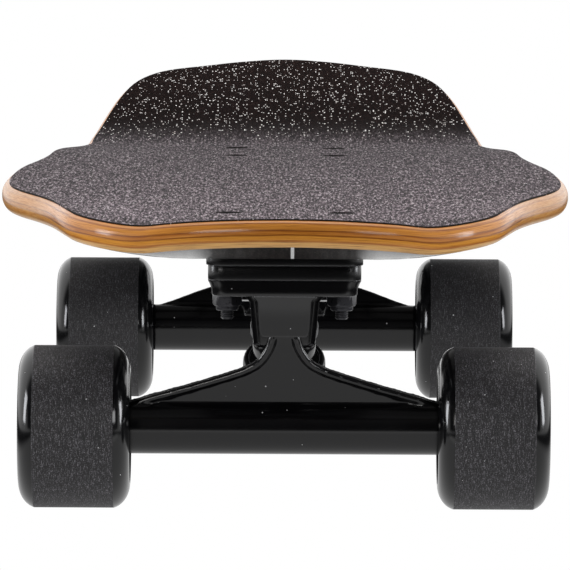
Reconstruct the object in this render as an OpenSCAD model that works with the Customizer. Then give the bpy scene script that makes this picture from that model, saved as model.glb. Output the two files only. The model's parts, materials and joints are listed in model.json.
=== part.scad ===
// Electric cruiser skateboard, as an assembly of separate parts.
// Millimetres. +Z up, ground at z = 0, nose at -Y, tail at +Y. The parts are drawn from
// the point midway between the axles, then placed so that the origin is on the ground
// below the middle of the whole board. In node names, left is -X and right is +X.

/* [Deck] */
// Thickness of the laminated deck
deck_thickness = 9.7; // [7:0.1:14]
// Height of the deck underside where the trucks bolt on
deck_height = 95; // [80:0.1:110]
// Rounding of the upper edge
edge_top_r = 4.2; // [1:0.1:4.8]
// Rounding of the lower edge
edge_low_r = 3.4; // [1:0.1:4.8]
// Where the nose starts to turn up
nose_kick_y = 256; // [245:1:280]
// Upturn of the nose in degrees
nose_kick_deg = 11; // [5:0.5:25]
// Where the tail starts to kick
tail_kick_y = 262; // [245:1:280]
// Kick angle of the tail in degrees
tail_kick_deg = 17.6; // [10:0.1:30]
// Thickness of the grip sheet
grip_thickness = 0.9; // [0.5:0.1:1.5]

/* [Running gear] */
// Distance between the two axles
wheelbase = 434; // [380:1:480]
// Wheel diameter
wheel_d = 59; // [54:0.5:65]
// Width of one wheel
wheel_width = 42; // [36:0.5:50]
// Middle of a wheel from the middle of the board
wheel_x = 76.5; // [70:0.5:85]
// Axle diameter
axle_d = 8; // [7.5:0.1:10]
// Hanger tube diameter
tube_d = 19.5; // [16:0.5:24]
// Distance of the truck bolt pattern inboard of the axle
bolt_inset = 12; // [8:0.5:20]
// Bolt spacing across the board
bolt_x = 41.3; // [40:0.1:43]
// Bolt spacing along the board
bolt_y = 54; // [53:0.1:65]
// Kingpin tilt from upright in degrees
kingpin_tilt = 32; // [20:1:45]

/* [Drive] */
// Half width of the drive case
case_half_width = 68; // [55:1:72]
// Front end of the drive case
case_front_y = -62; // [-80:1:-40]
// Rear end of the drive case
case_rear_y = 146; // [120:1:150]
// Depth of the drive case below its gasket
case_depth = 12.9; // [12:0.1:20]
// Wall thickness of the drive case
case_wall = 1.8; // [1.2:0.1:3]

/* [Hidden] */
$fn = 64;
overlap = 0.01;
wheel_r = wheel_d / 2;
half_base = wheelbase / 2;

// Colours shared by several parts
fastener_black = [0.06, 0.06, 0.065];
truck_black = [0.07, 0.07, 0.075];
bushing_black = [0.08, 0.08, 0.09];
hub_black = [0.1, 0.1, 0.11];
tyre_black = [0.05, 0.05, 0.055];
seal_black = [0.05, 0.05, 0.05];
rotor_grey = [0.16, 0.16, 0.17];
cover_grey = [0.2, 0.2, 0.21];
nut_grey = [0.5, 0.5, 0.52];
ring_grey = [0.6, 0.6, 0.6];
steel = [0.6, 0.6, 0.62];
inner_steel = [0.7, 0.7, 0.72];
ball_steel = [0.8, 0.8, 0.8];

// ---------- smooth curve through a short station list [[x, value], ...]
function span_index(table, x, i = 0) =
  (i >= len(table) - 2 || x < table[i + 1][0]) ? i : span_index(table, x, i + 1);
function slope(table, i) = let (a = max(0, i - 1), b = min(len(table) - 1, i + 1))
  (table[b][1] - table[a][1]) / (table[b][0] - table[a][0]);
// cubic Hermite interpolation
function curve(table, x) = let (i = span_index(table, x), span = table[i + 1][0] - table[i][0],
  s = min(1, max(0, (x - table[i][0]) / span)), s2 = s * s, s3 = s2 * s)
  (2 * s3 - 3 * s2 + 1) * table[i][1] + (s3 - 2 * s2 + s) * span * slope(table, i)
  + (3 * s2 - 2 * s3) * table[i + 1][1] + (s3 - s2) * span * slope(table, i + 1);

// ---------- deck shape
// [y, half width] along the board
rail = [[-274, 77], [-258, 80.4], [-242, 82.6], [-226, 84.6], [-208, 87.6], [-188, 92.6],
  [-170, 98.6], [-150, 103.6], [-120, 106.5], [-70, 106.6], [-14, 105], [45, 101.5], [95, 99.3],
  [150, 98.2], [195, 96.8], [222, 93.6], [245, 88.8], [262, 86.2], [280, 85], [297, 82.6],
  [320, 78], [336, 74.5], [348, 71.2], [355, 68.6], [361, 65]];
// plan curves of the two ends, [distance from the centreline, y]
nose_end = [[-22, -315.8], [0, -318], [22, -315.8], [42, -309], [58, -298.6], [69, -288],
  [77, -274]];
tail_end = [[-20, 381.4], [0, 384.5], [20, 381.4], [38, 375.8], [50, 372], [58, 367.8], [65, 361]];
// [y, half width that the side-to-side dish is measured against]
dish_width = [[-330, 77], [-265, 79.5], [-225, 84.7], [-190, 92], [-160, 101], [-130, 105.5],
  [-70, 106], [0, 104], [90, 99], [150, 98], [195, 96.5], [262, 85], [300, 81.5], [390, 76]];
// [y, height of the dish at that half width]
dish_height = [[-330, 6.4], [-285, 6.6], [-258, 7], [-225, 6.8], [-190, 7], [-150, 7.6],
  [-100, 8], [0, 6.8], [100, 4.6], [150, 3.6], [200, 1.6], [235, 0.2], [262, 0], [310, 0],
  [390, 0]];
nose_kick_r = 150;
tail_kick_r = 140;
rows = 50; // grid steps along the board
cols = 18; // grid steps across the board
end_rows = 9; // rows over which the inset of an end fades out

// 0 along the middle, rising to 1 in the nose
function nose_part(y) = min(1, max(0, (-262 - y) / 40));
// share of the half width that stays flat; the nose is flat further out than the middle
function flat_part(y) = 0.32 + 0.28 * nose_part(y);
function dish(x, y) = curve(dish_height, y)
  * pow(max(0, (abs(x) / curve(dish_width, y) - flat_part(y)) / (1 - flat_part(y))),
    1.5 + 0.3 * nose_part(y));
// rise at distance s into a kick: an arc, then a straight slope
function kick(s, radius, angle) = s <= 0 ? 0
  : s < radius * sin(angle) ? radius - sqrt(radius * radius - s * s)
  : radius * (1 - cos(angle)) + (s - radius * sin(angle)) * tan(angle);
function deck_rise(x, y) = kick(-nose_kick_y - y, nose_kick_r, nose_kick_deg)
  + kick(y - tail_kick_y, tail_kick_r, tail_kick_deg) + dish(x, y);

nose_half = rail[0][1];
tail_half = rail[len(rail) - 1][1];
rail_start = rail[0][0];
rail_end = rail[len(rail) - 1][0];
row_y = [for (i = [0:rows]) rail_start + (rail_end - rail_start) * i / rows];
// closed plan outline: nose, +X rail, tail, -X rail
outline = concat(
  [for (j = [0:cols]) let (x = nose_half * (2 * j / cols - 1)) [x, curve(nose_end, abs(x))]],
  [for (i = [1:rows - 1]) [curve(rail, row_y[i]), row_y[i]]],
  [for (j = [0:cols]) let (x = tail_half * (1 - 2 * j / cols)) [x, curve(tail_end, abs(x))]],
  [for (i = [1:rows - 1]) [-curve(rail, row_y[rows - i]), row_y[rows - i]]]);
loop_count = len(outline);

// outline point k moved inward by inset
function loop_pt(k, inset) = let (before = outline[(k + loop_count - 1) % loop_count],
  after = outline[(k + 1) % loop_count], along = after - before,
  inward = [-along[1], along[0]] / norm(along)) outline[k] + inward * inset;
// outline index of grid point (i along the board, j across it), on the rim only
function rim_index(i, j) = i == 0 ? j : i == rows ? cols + rows + (cols - j)
  : j == cols ? cols + i : 2 * cols + 2 * rows - i;
function grid_pt(i, j, inset) = (i == 0 || i == rows || j == 0 || j == cols)
  ? loop_pt(rim_index(i, j), inset)
  : let (left = loop_pt(rim_index(i, 0), inset), right = loop_pt(rim_index(i, cols), inset),
      nose_corner = loop_pt(0, inset), nose_pt = loop_pt(rim_index(0, j), inset),
      tail_corner = loop_pt(rim_index(rows, 0), inset),
      tail_pt = loop_pt(rim_index(rows, j), inset),
      nose_weight = pow(max(0, 1 - i / end_rows), 1.5),
      tail_weight = pow(max(0, 1 - (rows - i) / end_rows), 1.5))
    [left[0] + (right[0] - left[0]) * j / cols,
     left[1] + (nose_pt[1] - nose_corner[1]) * nose_weight
       + (tail_pt[1] - tail_corner[1]) * tail_weight];
function on_deck(point, height) =
  [point[0], point[1], deck_height + deck_rise(point[0], point[1]) + height];
// whole grid of points for one [inset, height] step of a profile
function grid_layer(step) =
  [for (i = [0:rows]) for (j = [0:cols]) on_deck(grid_pt(i, j, step[0]), step[1])];

// a plate that follows the deck: profile is [[inset, height], ...] from its top to its bottom
module deck_plate(profile) {
  last = len(profile) - 1;
  grid_count = (rows + 1) * (cols + 1);
  edge_points = last < 2 ? [] : [for (p = [1:last - 1]) for (k = [0:loop_count - 1])
    on_deck(loop_pt(k, profile[p][0]), profile[p][1])];
  // grid index of each outline point
  rim_grid = [for (k = [0:loop_count - 1]) k <= cols ? k
    : k < cols + rows ? (k - cols) * (cols + 1) + cols
    : k <= 2 * cols + rows ? rows * (cols + 1) + (2 * cols + rows - k)
    : (2 * cols + 2 * rows - k) * (cols + 1)];
  function ring(p, k) = let (m = k % loop_count) p == 0 ? rim_grid[m]
    : p == last ? grid_count + rim_grid[m]
    : 2 * grid_count + (p - 1) * loop_count + m;
  faces = concat(
    [for (i = [0:rows - 1]) for (j = [0:cols - 1]) let (a = i * (cols + 1) + j)
      each [[a, a + cols + 1, a + cols + 2], [a, a + cols + 2, a + 1]]],
    [for (i = [0:rows - 1]) for (j = [0:cols - 1]) let (a = grid_count + i * (cols + 1) + j)
      each [[a, a + cols + 2, a + cols + 1], [a, a + 1, a + cols + 2]]],
    [for (p = [0:last - 1]) for (k = [0:loop_count - 1])
      each [[ring(p, k), ring(p, k + 1), ring(p + 1, k + 1)],
            [ring(p, k), ring(p + 1, k + 1), ring(p + 1, k)]]]);
  polyhedron(points = concat(grid_layer(profile[0]), grid_layer(profile[last]), edge_points),
    faces = faces, convexity = 8);
}

// ---------- placing helpers
// truck frame: x across, y inboard, z up, from the axle
module front() { translate([0, -half_base, wheel_r]) children(); }
module rear() { translate([0, half_base, wheel_r]) rotate([0, 0, 180]) children(); }
module both_trucks() {
  front() children();
  rear() children();
}
// turns local z outboard along the axle; side is positive towards +X
module outboard(side) { rotate([0, 0, side > 0 ? 0 : 180]) rotate([0, 90, 0]) children(); }
module both_sides() {
  for (side = [-1, 1]) translate([side * wheel_x, 0, 0]) outboard(side) children();
}
// wheel frames: local z points outboard along the axle
module wheel_at(x, y) { translate([x, y, wheel_r]) outboard(x) children(); }
module front_left() { wheel_at(-wheel_x, -half_base) children(); }
module front_right() { wheel_at(wheel_x, -half_base) children(); }
module rear_left() { wheel_at(-wheel_x, half_base) children(); }
module rear_right() { wheel_at(wheel_x, half_base) children(); }

// middle of the hanger ring and of the pivot, in the truck frame
ring_y = 22;
ring_z = 20;
pivot_y = -20;
pivot_z = 45.5;
pivot_turn = 180 + atan2(ring_y - pivot_y, pivot_z - ring_z);
// local z points down the kingpin from the middle of the ring
module kingpin_frame() {
  translate([0, ring_y, ring_z]) rotate([180 + kingpin_tilt, 0, 0]) children();
}
// local z points from the pivot to the middle of the ring
module pivot_frame() { translate([0, pivot_y, pivot_z]) rotate([pivot_turn, 0, 0]) children(); }

// heights in the truck frame
flange_low = 50.3;
flange_top = 56.2;
pad_split = 61.7; // between the two layers of riser pad
pad_top = deck_height - wheel_r;
grip_top = pad_top + deck_thickness + grip_thickness;
module bolt_spots() {
  for (x = [-1, 1], y = [-1, 1])
    translate([x * bolt_x / 2, bolt_inset + y * bolt_y / 2, 0]) children();
}
module deck_bolt_spots() { both_trucks() bolt_spots() children(); }

// ---------- shape helpers
module rounded_plate(width, length, radius, height) {
  linear_extrude(height) union() {
    square([width - 2 * radius, length], center = true);
    square([width, length - 2 * radius], center = true);
    for (i = [-1, 1], j = [-1, 1])
      translate([i * (width / 2 - radius), j * (length / 2 - radius)]) circle(radius);
  }
}
module lathe(points) { rotate_extrude() polygon(points); }
module tube(inner_r, outer_r, low, high) {
  lathe([[inner_r, low], [outer_r, low], [outer_r, high], [inner_r, high]]);
}
module around(count) { for (i = [0:count - 1]) rotate([0, 0, i * 360 / count]) children(); }
// points followed by their mirror image in reverse order
function reflected(points, scale) = concat(points, [for (i = [len(points) - 1:-1:0])
  [points[i][0] * scale[0], points[i][1] * scale[1]]]);
function with_mirror_x(points) = reflected(points, [-1, 1]);
function with_mirror_y(points) = reflected(points, [1, -1]);

// ---------- board
case_screw_x = 30;
case_screw_out = 7; // screw centres beyond the ends of the case
case_spots = [for (y = [case_front_y - case_screw_out, case_rear_y + case_screw_out],
  x = [-case_screw_x, case_screw_x]) [x, y]];
// share of an edge radius left at 60 degrees round its arc, 1 - cos(30); at 30 it is half
arc_share = 0.134;
grip_low = deck_thickness + 0.02;
bolt_hole_r = 2.6;

module deck() {
  color([0.69, 0.47, 0.24]) difference() {
    deck_plate([[edge_top_r, deck_thickness],
      [edge_top_r * 0.5, deck_thickness - edge_top_r * arc_share],
      [edge_top_r * arc_share, deck_thickness - edge_top_r * 0.5],
      [0, deck_thickness - edge_top_r],
      [0, edge_low_r],
      [edge_low_r * arc_share, edge_low_r * 0.5],
      [edge_low_r * 0.5, edge_low_r * arc_share],
      [edge_low_r, 0]]);
    deck_bolt_spots() translate([0, 0, pad_top - 2])
      cylinder(r = bolt_hole_r, h = deck_thickness + 4);
    deck_bolt_spots() translate([0, 0, grip_top - 2.4])
      cylinder(r1 = bolt_hole_r, r2 = 4.75, h = 2.25);
    for (p = case_spots) translate([p[0], p[1], deck_height - 2]) cylinder(r = 2, h = 9.5);
  }
}
module grip_sheet() {
  color([0.2, 0.19, 0.2]) difference() {
    deck_plate([[edge_top_r, grip_low + grip_thickness], [edge_top_r, grip_low]]);
    deck_bolt_spots() translate([0, 0, pad_top + deck_thickness - 3]) cylinder(r = 5, h = 8);
  }
}

// ---------- truck mounting
plate_y = bolt_inset - 4; // middle of the baseplate and riser pads
kingpin_r = 4.76;
kingpin_hole_r = 4.85;
nut_depth = 6.3; // deck nut below the flange
bolt_low = flange_low - nut_depth - 3.3;
bolt_head_low = grip_top - 2.5;
bolt_r = 2.4;

// one layer of riser, with bolt holes and a rectangular window
module riser_layer(low, height) {
  difference() {
    translate([0, plate_y, low]) rounded_plate(56, 88, 6, height);
    bolt_spots() translate([0, 0, low - 1]) cylinder(r = 2.7, h = 10);
    translate([0, 4, low - 1]) linear_extrude(10) square([16, 22], center = true);
  }
}
module riser_pads() {
  color(fastener_black) both_trucks() {
    riser_layer(flange_top + 0.01, pad_split - flange_top - 0.03);
    riser_layer(pad_split, pad_top - pad_split - 0.02);
  }
}
module baseplate() {
  difference() {
    union() {
      translate([0, plate_y, flange_low]) rounded_plate(52.2, 84, 5.5, flange_top - flange_low);
      // pivot housing: side outline [y, z] crossed with end outline [x, z]
      intersection() {
        rotate([90, 0, 90]) translate([0, 0, -20]) linear_extrude(40)
          polygon([[-34.5, 51.5], [-32.6, 48.7], [-29.6, 35.2], [-20.4, 35.2], [-10.5, 51.5]]);
        rotate([90, 0, 0]) translate([0, 0, -5]) linear_extrude(45)
          polygon(with_mirror_x([[-11.8, 51.4], [-9.9, 48.4], [-9.1, 37.2], [-7.4, 35.2]]));
      }
      // kingpin boss
      intersection() {
        kingpin_frame() translate([0, 0, -44]) cylinder(r1 = 12.8, r2 = 10.7, h = 24.5);
        translate([-20, -5.5, 20]) cube([40, 42, flange_top - 20.5]);
      }
      // side ribs beside the boss
      for (side = [-1, 1]) translate([side * 13.5 - 1.6, 0, 0]) rotate([90, 0, 90])
        linear_extrude(3.2) polygon([[-12, 51], [-6, 46], [6, 43], [26, 46], [40, 51]]);
      // cross rib
      translate([-14, 6, 44]) cube([28, 3.2, 7]);
    }
    bolt_spots() translate([0, 0, 40]) cylinder(r = bolt_hole_r, h = 20);
    // kingpin hole, pocket for its head, and seat of the pivot cup
    kingpin_frame() translate([0, 0, -60]) cylinder(r = kingpin_hole_r, h = 60);
    kingpin_frame() translate([0, 0, -55]) cylinder(r = 8.4, h = 24);
    pivot_frame() translate([0, 0, -6.1]) cylinder(r = 7.05, h = 30);
  }
}
module front_baseplate() { color(truck_black) front() baseplate(); }
module rear_baseplate() { color(truck_black) rear() baseplate(); }
module pivot_cups() {
  color(hub_black) both_trucks() pivot_frame()
    lathe([[0, -6], [7, -6], [7, 5.2], [5.58, 5.2], [5.58, 1], [5.39, -0.44], [4.83, -1.79],
      [3.95, -2.95], [2.79, -3.83], [1.44, -4.39], [0, -4.58]]);
}
module kingpins() {
  color([0.55, 0.55, 0.57]) both_trucks() kingpin_frame() {
    translate([0, 0, -36]) cylinder(r = 8, h = 5, $fn = 6);
    translate([0, 0, -32]) cylinder(r = kingpin_r, h = 57);
    translate([0, 0, 25 - overlap]) cylinder(r1 = kingpin_r, r2 = 4.1, h = 0.8);
  }
}
module kingpin_nuts() {
  color([0.06, 0.06, 0.06]) both_trucks() kingpin_frame() difference() {
    union() {
      translate([0, 0, 16.02]) cylinder(r = 8.25, h = 6, $fn = 6);
      translate([0, 0, 21]) cylinder(r1 = 7, r2 = 6, h = 2.5);
    }
    translate([0, 0, 10]) cylinder(r = kingpin_hole_r, h = 20);
  }
}

// bushing and washer sections are [radius, z down the kingpin]
module upper_bushing() {
  kingpin_frame() lathe([[5, -17.98], [10.6, -17.98], [11, -17], [11.1, -14], [11.5, -12],
    [11.5, -8.5], [11.1, -5], [11, -3.02], [5, -3.02]]);
}
module lower_bushing() {
  kingpin_frame() lathe([[5, 3.02], [11.2, 3.02], [11.3, 4.5], [11, 6], [8.6, 13.4],
    [8.2, 14.48], [5, 14.48]]);
}
module front_upper_bushing() { color(bushing_black) front() upper_bushing(); }
module front_lower_bushing() { color(bushing_black) front() lower_bushing(); }
module rear_upper_bushing() { color(bushing_black) rear() upper_bushing(); }
module rear_lower_bushing() { color(bushing_black) rear() lower_bushing(); }
module bushing_washers() {
  color([0.1, 0.1, 0.1]) both_trucks() kingpin_frame() {
    lathe([[4.9, -19.48], [12.2, -19.48], [12.4, -19], [12.4, -16.6], [11.6, -16.6],
      [11.4, -18], [4.9, -18]]);
    lathe([[4.9, 14.5], [9.3, 14.5], [9.6, 14.8], [9.6, 15.7], [9.3, 16], [4.9, 16]]);
  }
}
module deck_bolts() {
  color([0.08, 0.08, 0.085]) deck_bolt_spots() {
    translate([0, 0, bolt_low + 0.6]) cylinder(r = bolt_r, h = bolt_head_low - bolt_low);
    translate([0, 0, bolt_low]) cylinder(r1 = 1.9, r2 = bolt_r, h = 0.61);
    difference() {
      translate([0, 0, bolt_head_low]) cylinder(r1 = bolt_r, r2 = 4.6, h = 2.3);
      translate([0, 0, grip_top - 1.8]) cylinder(r = 1.8, h = 3, $fn = 6);
    }
  }
}
module deck_nuts() {
  color(fastener_black) deck_bolt_spots() difference() {
    union() {
      translate([0, 0, flange_low - 4.7]) cylinder(r = 5.5, h = 4.68, $fn = 6);
      translate([0, 0, flange_low - nut_depth]) cylinder(r1 = 3.9, r2 = 4.5, h = 1.7);
    }
    translate([0, 0, flange_low - 8]) cylinder(r = 2.45, h = 10);
  }
}

// ---------- drive
case_top = 91.9;
case_low = case_top - case_depth;
case_corner_r = 9;
case_floor = 1.6;
gasket_low = case_top + 0.01;
gasket_height = deck_height - case_top - 0.04;
gasket_width = 5;
// charge socket (+X side) and power button (-X side)
port_y = -17;
port_z = case_top - 5.3;
port_body_r = 4.3;
port_flange_r = 5;
// hinge of the charge flap, out from the case side and towards the nose from the socket
hinge_out = 1.8;
hinge_offset = 8;
cell_width = 42.6;
cell_length = 65;
cell_height = 9.6;
cell_pitch_x = 43.6;
cell_pitch_y = 67;
cell_first_y = 42; // middle of the front row
cell_low = case_low + case_floor + 0.2;
strip_low = cell_low + cell_height + 0.02;

module case_plan(inset, height) {
  translate([0, (case_front_y + case_rear_y) / 2, 0])
    rounded_plate(2 * (case_half_width - inset), case_rear_y - case_front_y - 2 * inset,
      case_corner_r - inset, height);
}
// outer body; with an inset and a raised floor it is the cavity, carried up through the top
module case_body(inset = 0, lift = 0) {
  rim = inset > 0 ? 4 : 0;
  intersection() {
    translate([0, 0, case_top - 30]) case_plan(inset, 30 + (inset > 0 ? 5 : 0));
    // side outline [y, z from the case top]
    translate([-80, 0, case_top]) rotate([90, 0, 90]) linear_extrude(160)
      polygon([[case_front_y - 1, rim], [case_rear_y + 1, rim], [case_rear_y + 1, -9 + lift],
        [case_rear_y - 4, -case_depth + lift], [4, -case_depth + lift],
        [case_front_y + 6, -8.8 + lift], [case_front_y - 1, -4.5 + lift]]);
  }
}
module case_tabs(low, height) {
  for (p = case_spots) translate([p[0], p[1] + (p[1] > 0 ? -3 : 3), low])
    rounded_plate(15, 19, 3, height);
}
module case_screw_holes() {
  for (p = case_spots) translate([p[0], p[1], case_top - 6]) cylinder(r = 2.2, h = 10);
}
module drive_case() {
  color([0.09, 0.09, 0.1]) difference() {
    union() {
      case_body();
      case_tabs(case_top - 3, 3);
      // lugs for the flap of the charge socket
      for (side = [-1, 1])
        translate([case_half_width - 0.5, port_y - hinge_offset - 1.5, port_z + side * 3.4 - 0.8])
          cube([3.6, 3, 1.6]);
    }
    case_body(case_wall, case_floor);
    case_screw_holes();
    // socket and button holes
    for (side = [1, -1]) translate([side * case_half_width - 4, port_y, port_z])
      rotate([0, 90, 0]) cylinder(r = 4.35, h = 8);
    // cable holes
    for (side = [-1, 1]) translate([side * 45, case_rear_y - 4, case_top - 6])
      rotate([-90, 0, 0]) cylinder(r = 2.1, h = 8);
    // hinge pin hole
    translate([case_half_width + hinge_out, port_y - hinge_offset, port_z - 6])
      cylinder(r = 0.7, h = 12);
    // grooves across the floor
    for (i = [0:5]) translate([-40, 20 + i * 20, case_low - 1]) cube([80, 6, 1.6]);
  }
}
module case_gasket() {
  color(seal_black) difference() {
    union() {
      translate([0, 0, gasket_low]) case_plan(0, gasket_height);
      case_tabs(gasket_low, gasket_height);
    }
    translate([0, 0, case_top - 1]) case_plan(gasket_width, 6);
    case_screw_holes();
  }
}
module case_screws() {
  color(nut_grey) for (p = case_spots) translate([p[0], p[1], 0]) {
    translate([0, 0, case_top - 4]) cylinder(r = 1.95, h = 12);
    difference() {
      translate([0, 0, case_top - 5.4]) cylinder(r1 = 3.4, r2 = 3.9, h = 2.38);
      translate([0, 0, case_top - 6]) cylinder(r = 1.5, h = 2, $fn = 6);
    }
  }
}
module battery_cells() {
  color([0.55, 0.57, 0.6]) for (i = [-1:1], j = [0, 1])
    translate([i * cell_pitch_x, cell_first_y + j * cell_pitch_y, cell_low])
      rounded_plate(cell_width, cell_length, 3, cell_height);
}
module cell_strips() {
  color([0.75, 0.74, 0.7]) {
    // front row to rear row
    for (i = [-1:1])
      translate([i * cell_pitch_x - 5, cell_first_y + cell_pitch_y / 2 - 3, strip_low])
        cube([10, 6, 0.3]);
    // side to side in the front row
    for (side = [-1, 1]) translate([side * cell_pitch_x / 2 - 6, 20, strip_low])
      cube([12, 5, 0.3]);
  }
}
module motor_controller() {
  color([0.08, 0.3, 0.16]) {
    // board, with blocks and cylinders hanging below it
    translate([-46, -53, case_top - 2.6]) cube([92, 50, 1.6]);
    for (i = [-2:2]) translate([i * 14 - 5, -30, case_top - 6.2]) cube([10, 14, 3.7]);
    for (side = [-1, 1]) translate([side * 36, -36, case_top - 6.4]) cylinder(r = 5, h = 3.9);
    translate([-12, -50, case_top - 5]) cube([24, 14, 2.5]);
    for (side = [-1, 1]) translate([side * 30 - 8, -12, case_top - 6.5]) cube([16, 7, 4]);
  }
}
// frames on the case sides, local z outward
module socket_frame() {
  translate([case_half_width, port_y, port_z]) rotate([0, 90, 0]) children();
}
module button_frame() {
  translate([-case_half_width, port_y, port_z]) rotate([0, -90, 0]) children();
}
// flanged body with a bore
module port_body(depth, bore_r, bore_depth, bore_length) {
  difference() {
    union() {
      translate([0, 0, -depth]) cylinder(r = port_body_r, h = depth + 0.2);
      translate([0, 0, 0.02]) cylinder(r = port_flange_r, h = 0.9);
    }
    translate([0, 0, -bore_depth]) cylinder(r = bore_r, h = bore_length);
  }
}
module charge_socket() {
  color([0.12, 0.12, 0.13]) socket_frame()
    port_body(depth = 12, bore_r = 2.9, bore_depth = 9, bore_length = 12);
}
module charge_cap() {
  color(seal_black) {
    socket_frame() translate([0, 0, 1.0]) cylinder(r = port_flange_r, h = 1.6);
    // strap, hinge barrel and hinge pin
    translate([case_half_width, port_y - hinge_offset, port_z]) {
      translate([1.0, 0, -2.5]) cube([1.6, 6, 5]);
      translate([hinge_out, 0, -2.5]) cylinder(r = 1.1, h = 5);
      translate([hinge_out, 0, -4.1]) cylinder(r = 0.64, h = 8.2);
    }
  }
}
module button_bezel() {
  color([0.3, 0.3, 0.32]) button_frame()
    port_body(depth = 5, bore_r = 3.35, bore_depth = 3.6, bore_length = 8);
}
module power_button() {
  color([0.75, 0.76, 0.78]) button_frame() {
    translate([0, 0, -2.2]) cylinder(r = 3.3, h = 3.6);
    translate([0, 0, 1.4 - overlap]) cylinder(r1 = 3.3, r2 = 2.9, h = 0.3);
  }
}

// cable path from the case to the hanger tube, [x, y, z] of the +X cable
cable_pts = [[45, 143, 85.9], [45, 150, 85.9], [43, 160, 86.1], [38, 174, 87], [36, 200, 87.6],
  [36, 236, 87.2], [34, 256, 84], [27, 264, 76], [20, 262, 64], [16, 250, 52], [18, 239.5, 41],
  [26, 233.5, 33.5], [35, 231, 30], [41.6, 229.4, 29.5], [44, 226, 29.5], [44, 223.6, 29.5]];
cable_r = 1.9;
cable_steps = 3; // path points for each span
cable_sides = 12;
// Catmull-Rom spline, at fraction t of the span that starts at point i
function spline(p, i, t) = let (a = p[max(0, i - 1)], b = p[i], c = p[min(len(p) - 1, i + 1)],
  d = p[min(len(p) - 1, i + 2)])
  0.5 * (2 * b + (c - a) * t + (2 * a - 5 * b + 4 * c - d) * t * t
    + (3 * b - a - 3 * c + d) * t * t * t);
module cable(side) {
  half_path = [for (i = [0:len(cable_pts) - 2]) for (k = [0:cable_steps - 1])
    spline(cable_pts, i, k / cable_steps), cable_pts[len(cable_pts) - 1]];
  path = [for (q = half_path) [side * q[0], q[1], q[2]]];
  n = len(path);
  m = cable_sides;
  function tangent(i) = let (v = path[min(n - 1, i + 1)] - path[max(0, i - 1)]) v / norm(v);
  function across(i) = let (v = cross(tangent(i), [0.3 * side, 0.25, 1])) v / norm(v);
  points = [for (i = [0:n - 1]) let (a = across(i), b = cross(tangent(i), a))
    for (k = [0:m - 1]) path[i] + cable_r * (a * cos(360 * k / m) + b * sin(360 * k / m))];
  faces = concat([[for (k = [0:m - 1]) k]],
    [for (i = [0:n - 2]) for (k = [0:m - 1]) let (a = i * m + k, b = i * m + (k + 1) % m)
      each [[a, a + m, b + m], [a, b + m, b]]],
    [[for (k = [m - 1:-1:0]) (n - 1) * m + k]]);
  polyhedron(points = points, faces = faces, convexity = 8);
}
module motor_cables() {
  color([0.04, 0.04, 0.045]) {
    cable(1);
    cable(-1);
  }
}

// ---------- trucks
module hanger(half, cable_holes) {
  web_end = min(57.5, half - 2);
  difference() {
    union() {
      rotate([0, 90, 0]) cylinder(r = tube_d / 2, h = 2 * half, center = true);
      // web with a raised rim
      rotate([106, 0, 0]) translate([0, 0, -3.5]) difference() {
        linear_extrude(7) polygon(with_mirror_x([[-web_end, 2], [-web_end + 2, 10.5],
          [-36, 16.6], [-18, 22.4], [-10.5, 26.8], [-7.6, 31], [-5.4, 35.6]]));
        translate([0, 0, 5.2]) linear_extrude(4)
          polygon(with_mirror_x([[-45, 8], [-45, 10.5], [-18, 19.2], [-8.5, 24], [-4.5, 29]]));
      }
      // ring and the arm that joins it to the tube
      kingpin_frame() {
        translate([0, 0, -4.5]) cylinder(r = 15, h = 9);
        translate([0, 0, -4.3]) linear_extrude(8.6)
          polygon(with_mirror_x([[-24, 30], [-17, 20], [-12, 7]]));
      }
      // neck up to the pivot stem, side outline [y, z]
      translate([-6.3, 0, 0]) rotate([90, 0, 90]) linear_extrude(12.6)
        polygon([[-16, 35.7], [-10.5, 44.8], [-6.9, 39.7], [-4.2, 35.5], [-0.5, 29.6],
          [2.2, 25.3], [7.5, 16.8], [6, 6], [-6, 6], [-8.5, 20], [-12, 30]]);
      // round-ended pivot stem
      pivot_frame() lathe([[0, -4.5], [1.42, -4.31], [2.75, -3.76], [3.89, -2.89],
        [4.76, -1.75], [5.31, -0.42], [5.5, 1], [5.5, 11.5], [0, 11.5]]);
    }
    rotate([0, 90, 0]) cylinder(r = axle_d / 2 + 0.02, h = 160, center = true);
    // kingpin clearance and the two bushing seats
    kingpin_frame() {
      translate([0, 0, -20]) cylinder(r = 7.2, h = 40);
      translate([0, 0, -18]) cylinder(r = 12.9, h = 15);
      translate([0, 0, 3]) cylinder(r = 12.9, h = 15);
    }
    if (cable_holes) for (side = [-1, 1]) translate([side * 44, 0, 0]) rotate([90, 0, 0])
      translate([0, 0, 5.6]) cylinder(r = 2.9, h = 10);
  }
}
module front_hanger() { color(truck_black) front() hanger(63.5, false); }
module rear_hanger() { color(truck_black) rear() hanger(56.5, true); }

axle_half = 96.8;
axle_bore_r = 4.05; // hole in the parts that slide onto the axle
module axle() {
  rotate([0, 90, 0]) lathe(with_mirror_y([[0, -axle_half], [3.4, -axle_half],
    [3.98, 0.7 - axle_half]]));
}
module front_axle() { color(steel) front() axle(); }
module rear_axle() { color(steel) rear() axle(); }

// ---------- bearings: 22 x 8 x 7, at local z of a wheel frame
bearing_half = 3.5;
bearing_r = 11;
ball_circle_r = 7.5;
outboard_z = 8.5;
front_inboard_z = -8.5;
rear_inboard_z = -15.5;
ring_low = outboard_z + bearing_half + 0.01; // outboard speed ring

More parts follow.
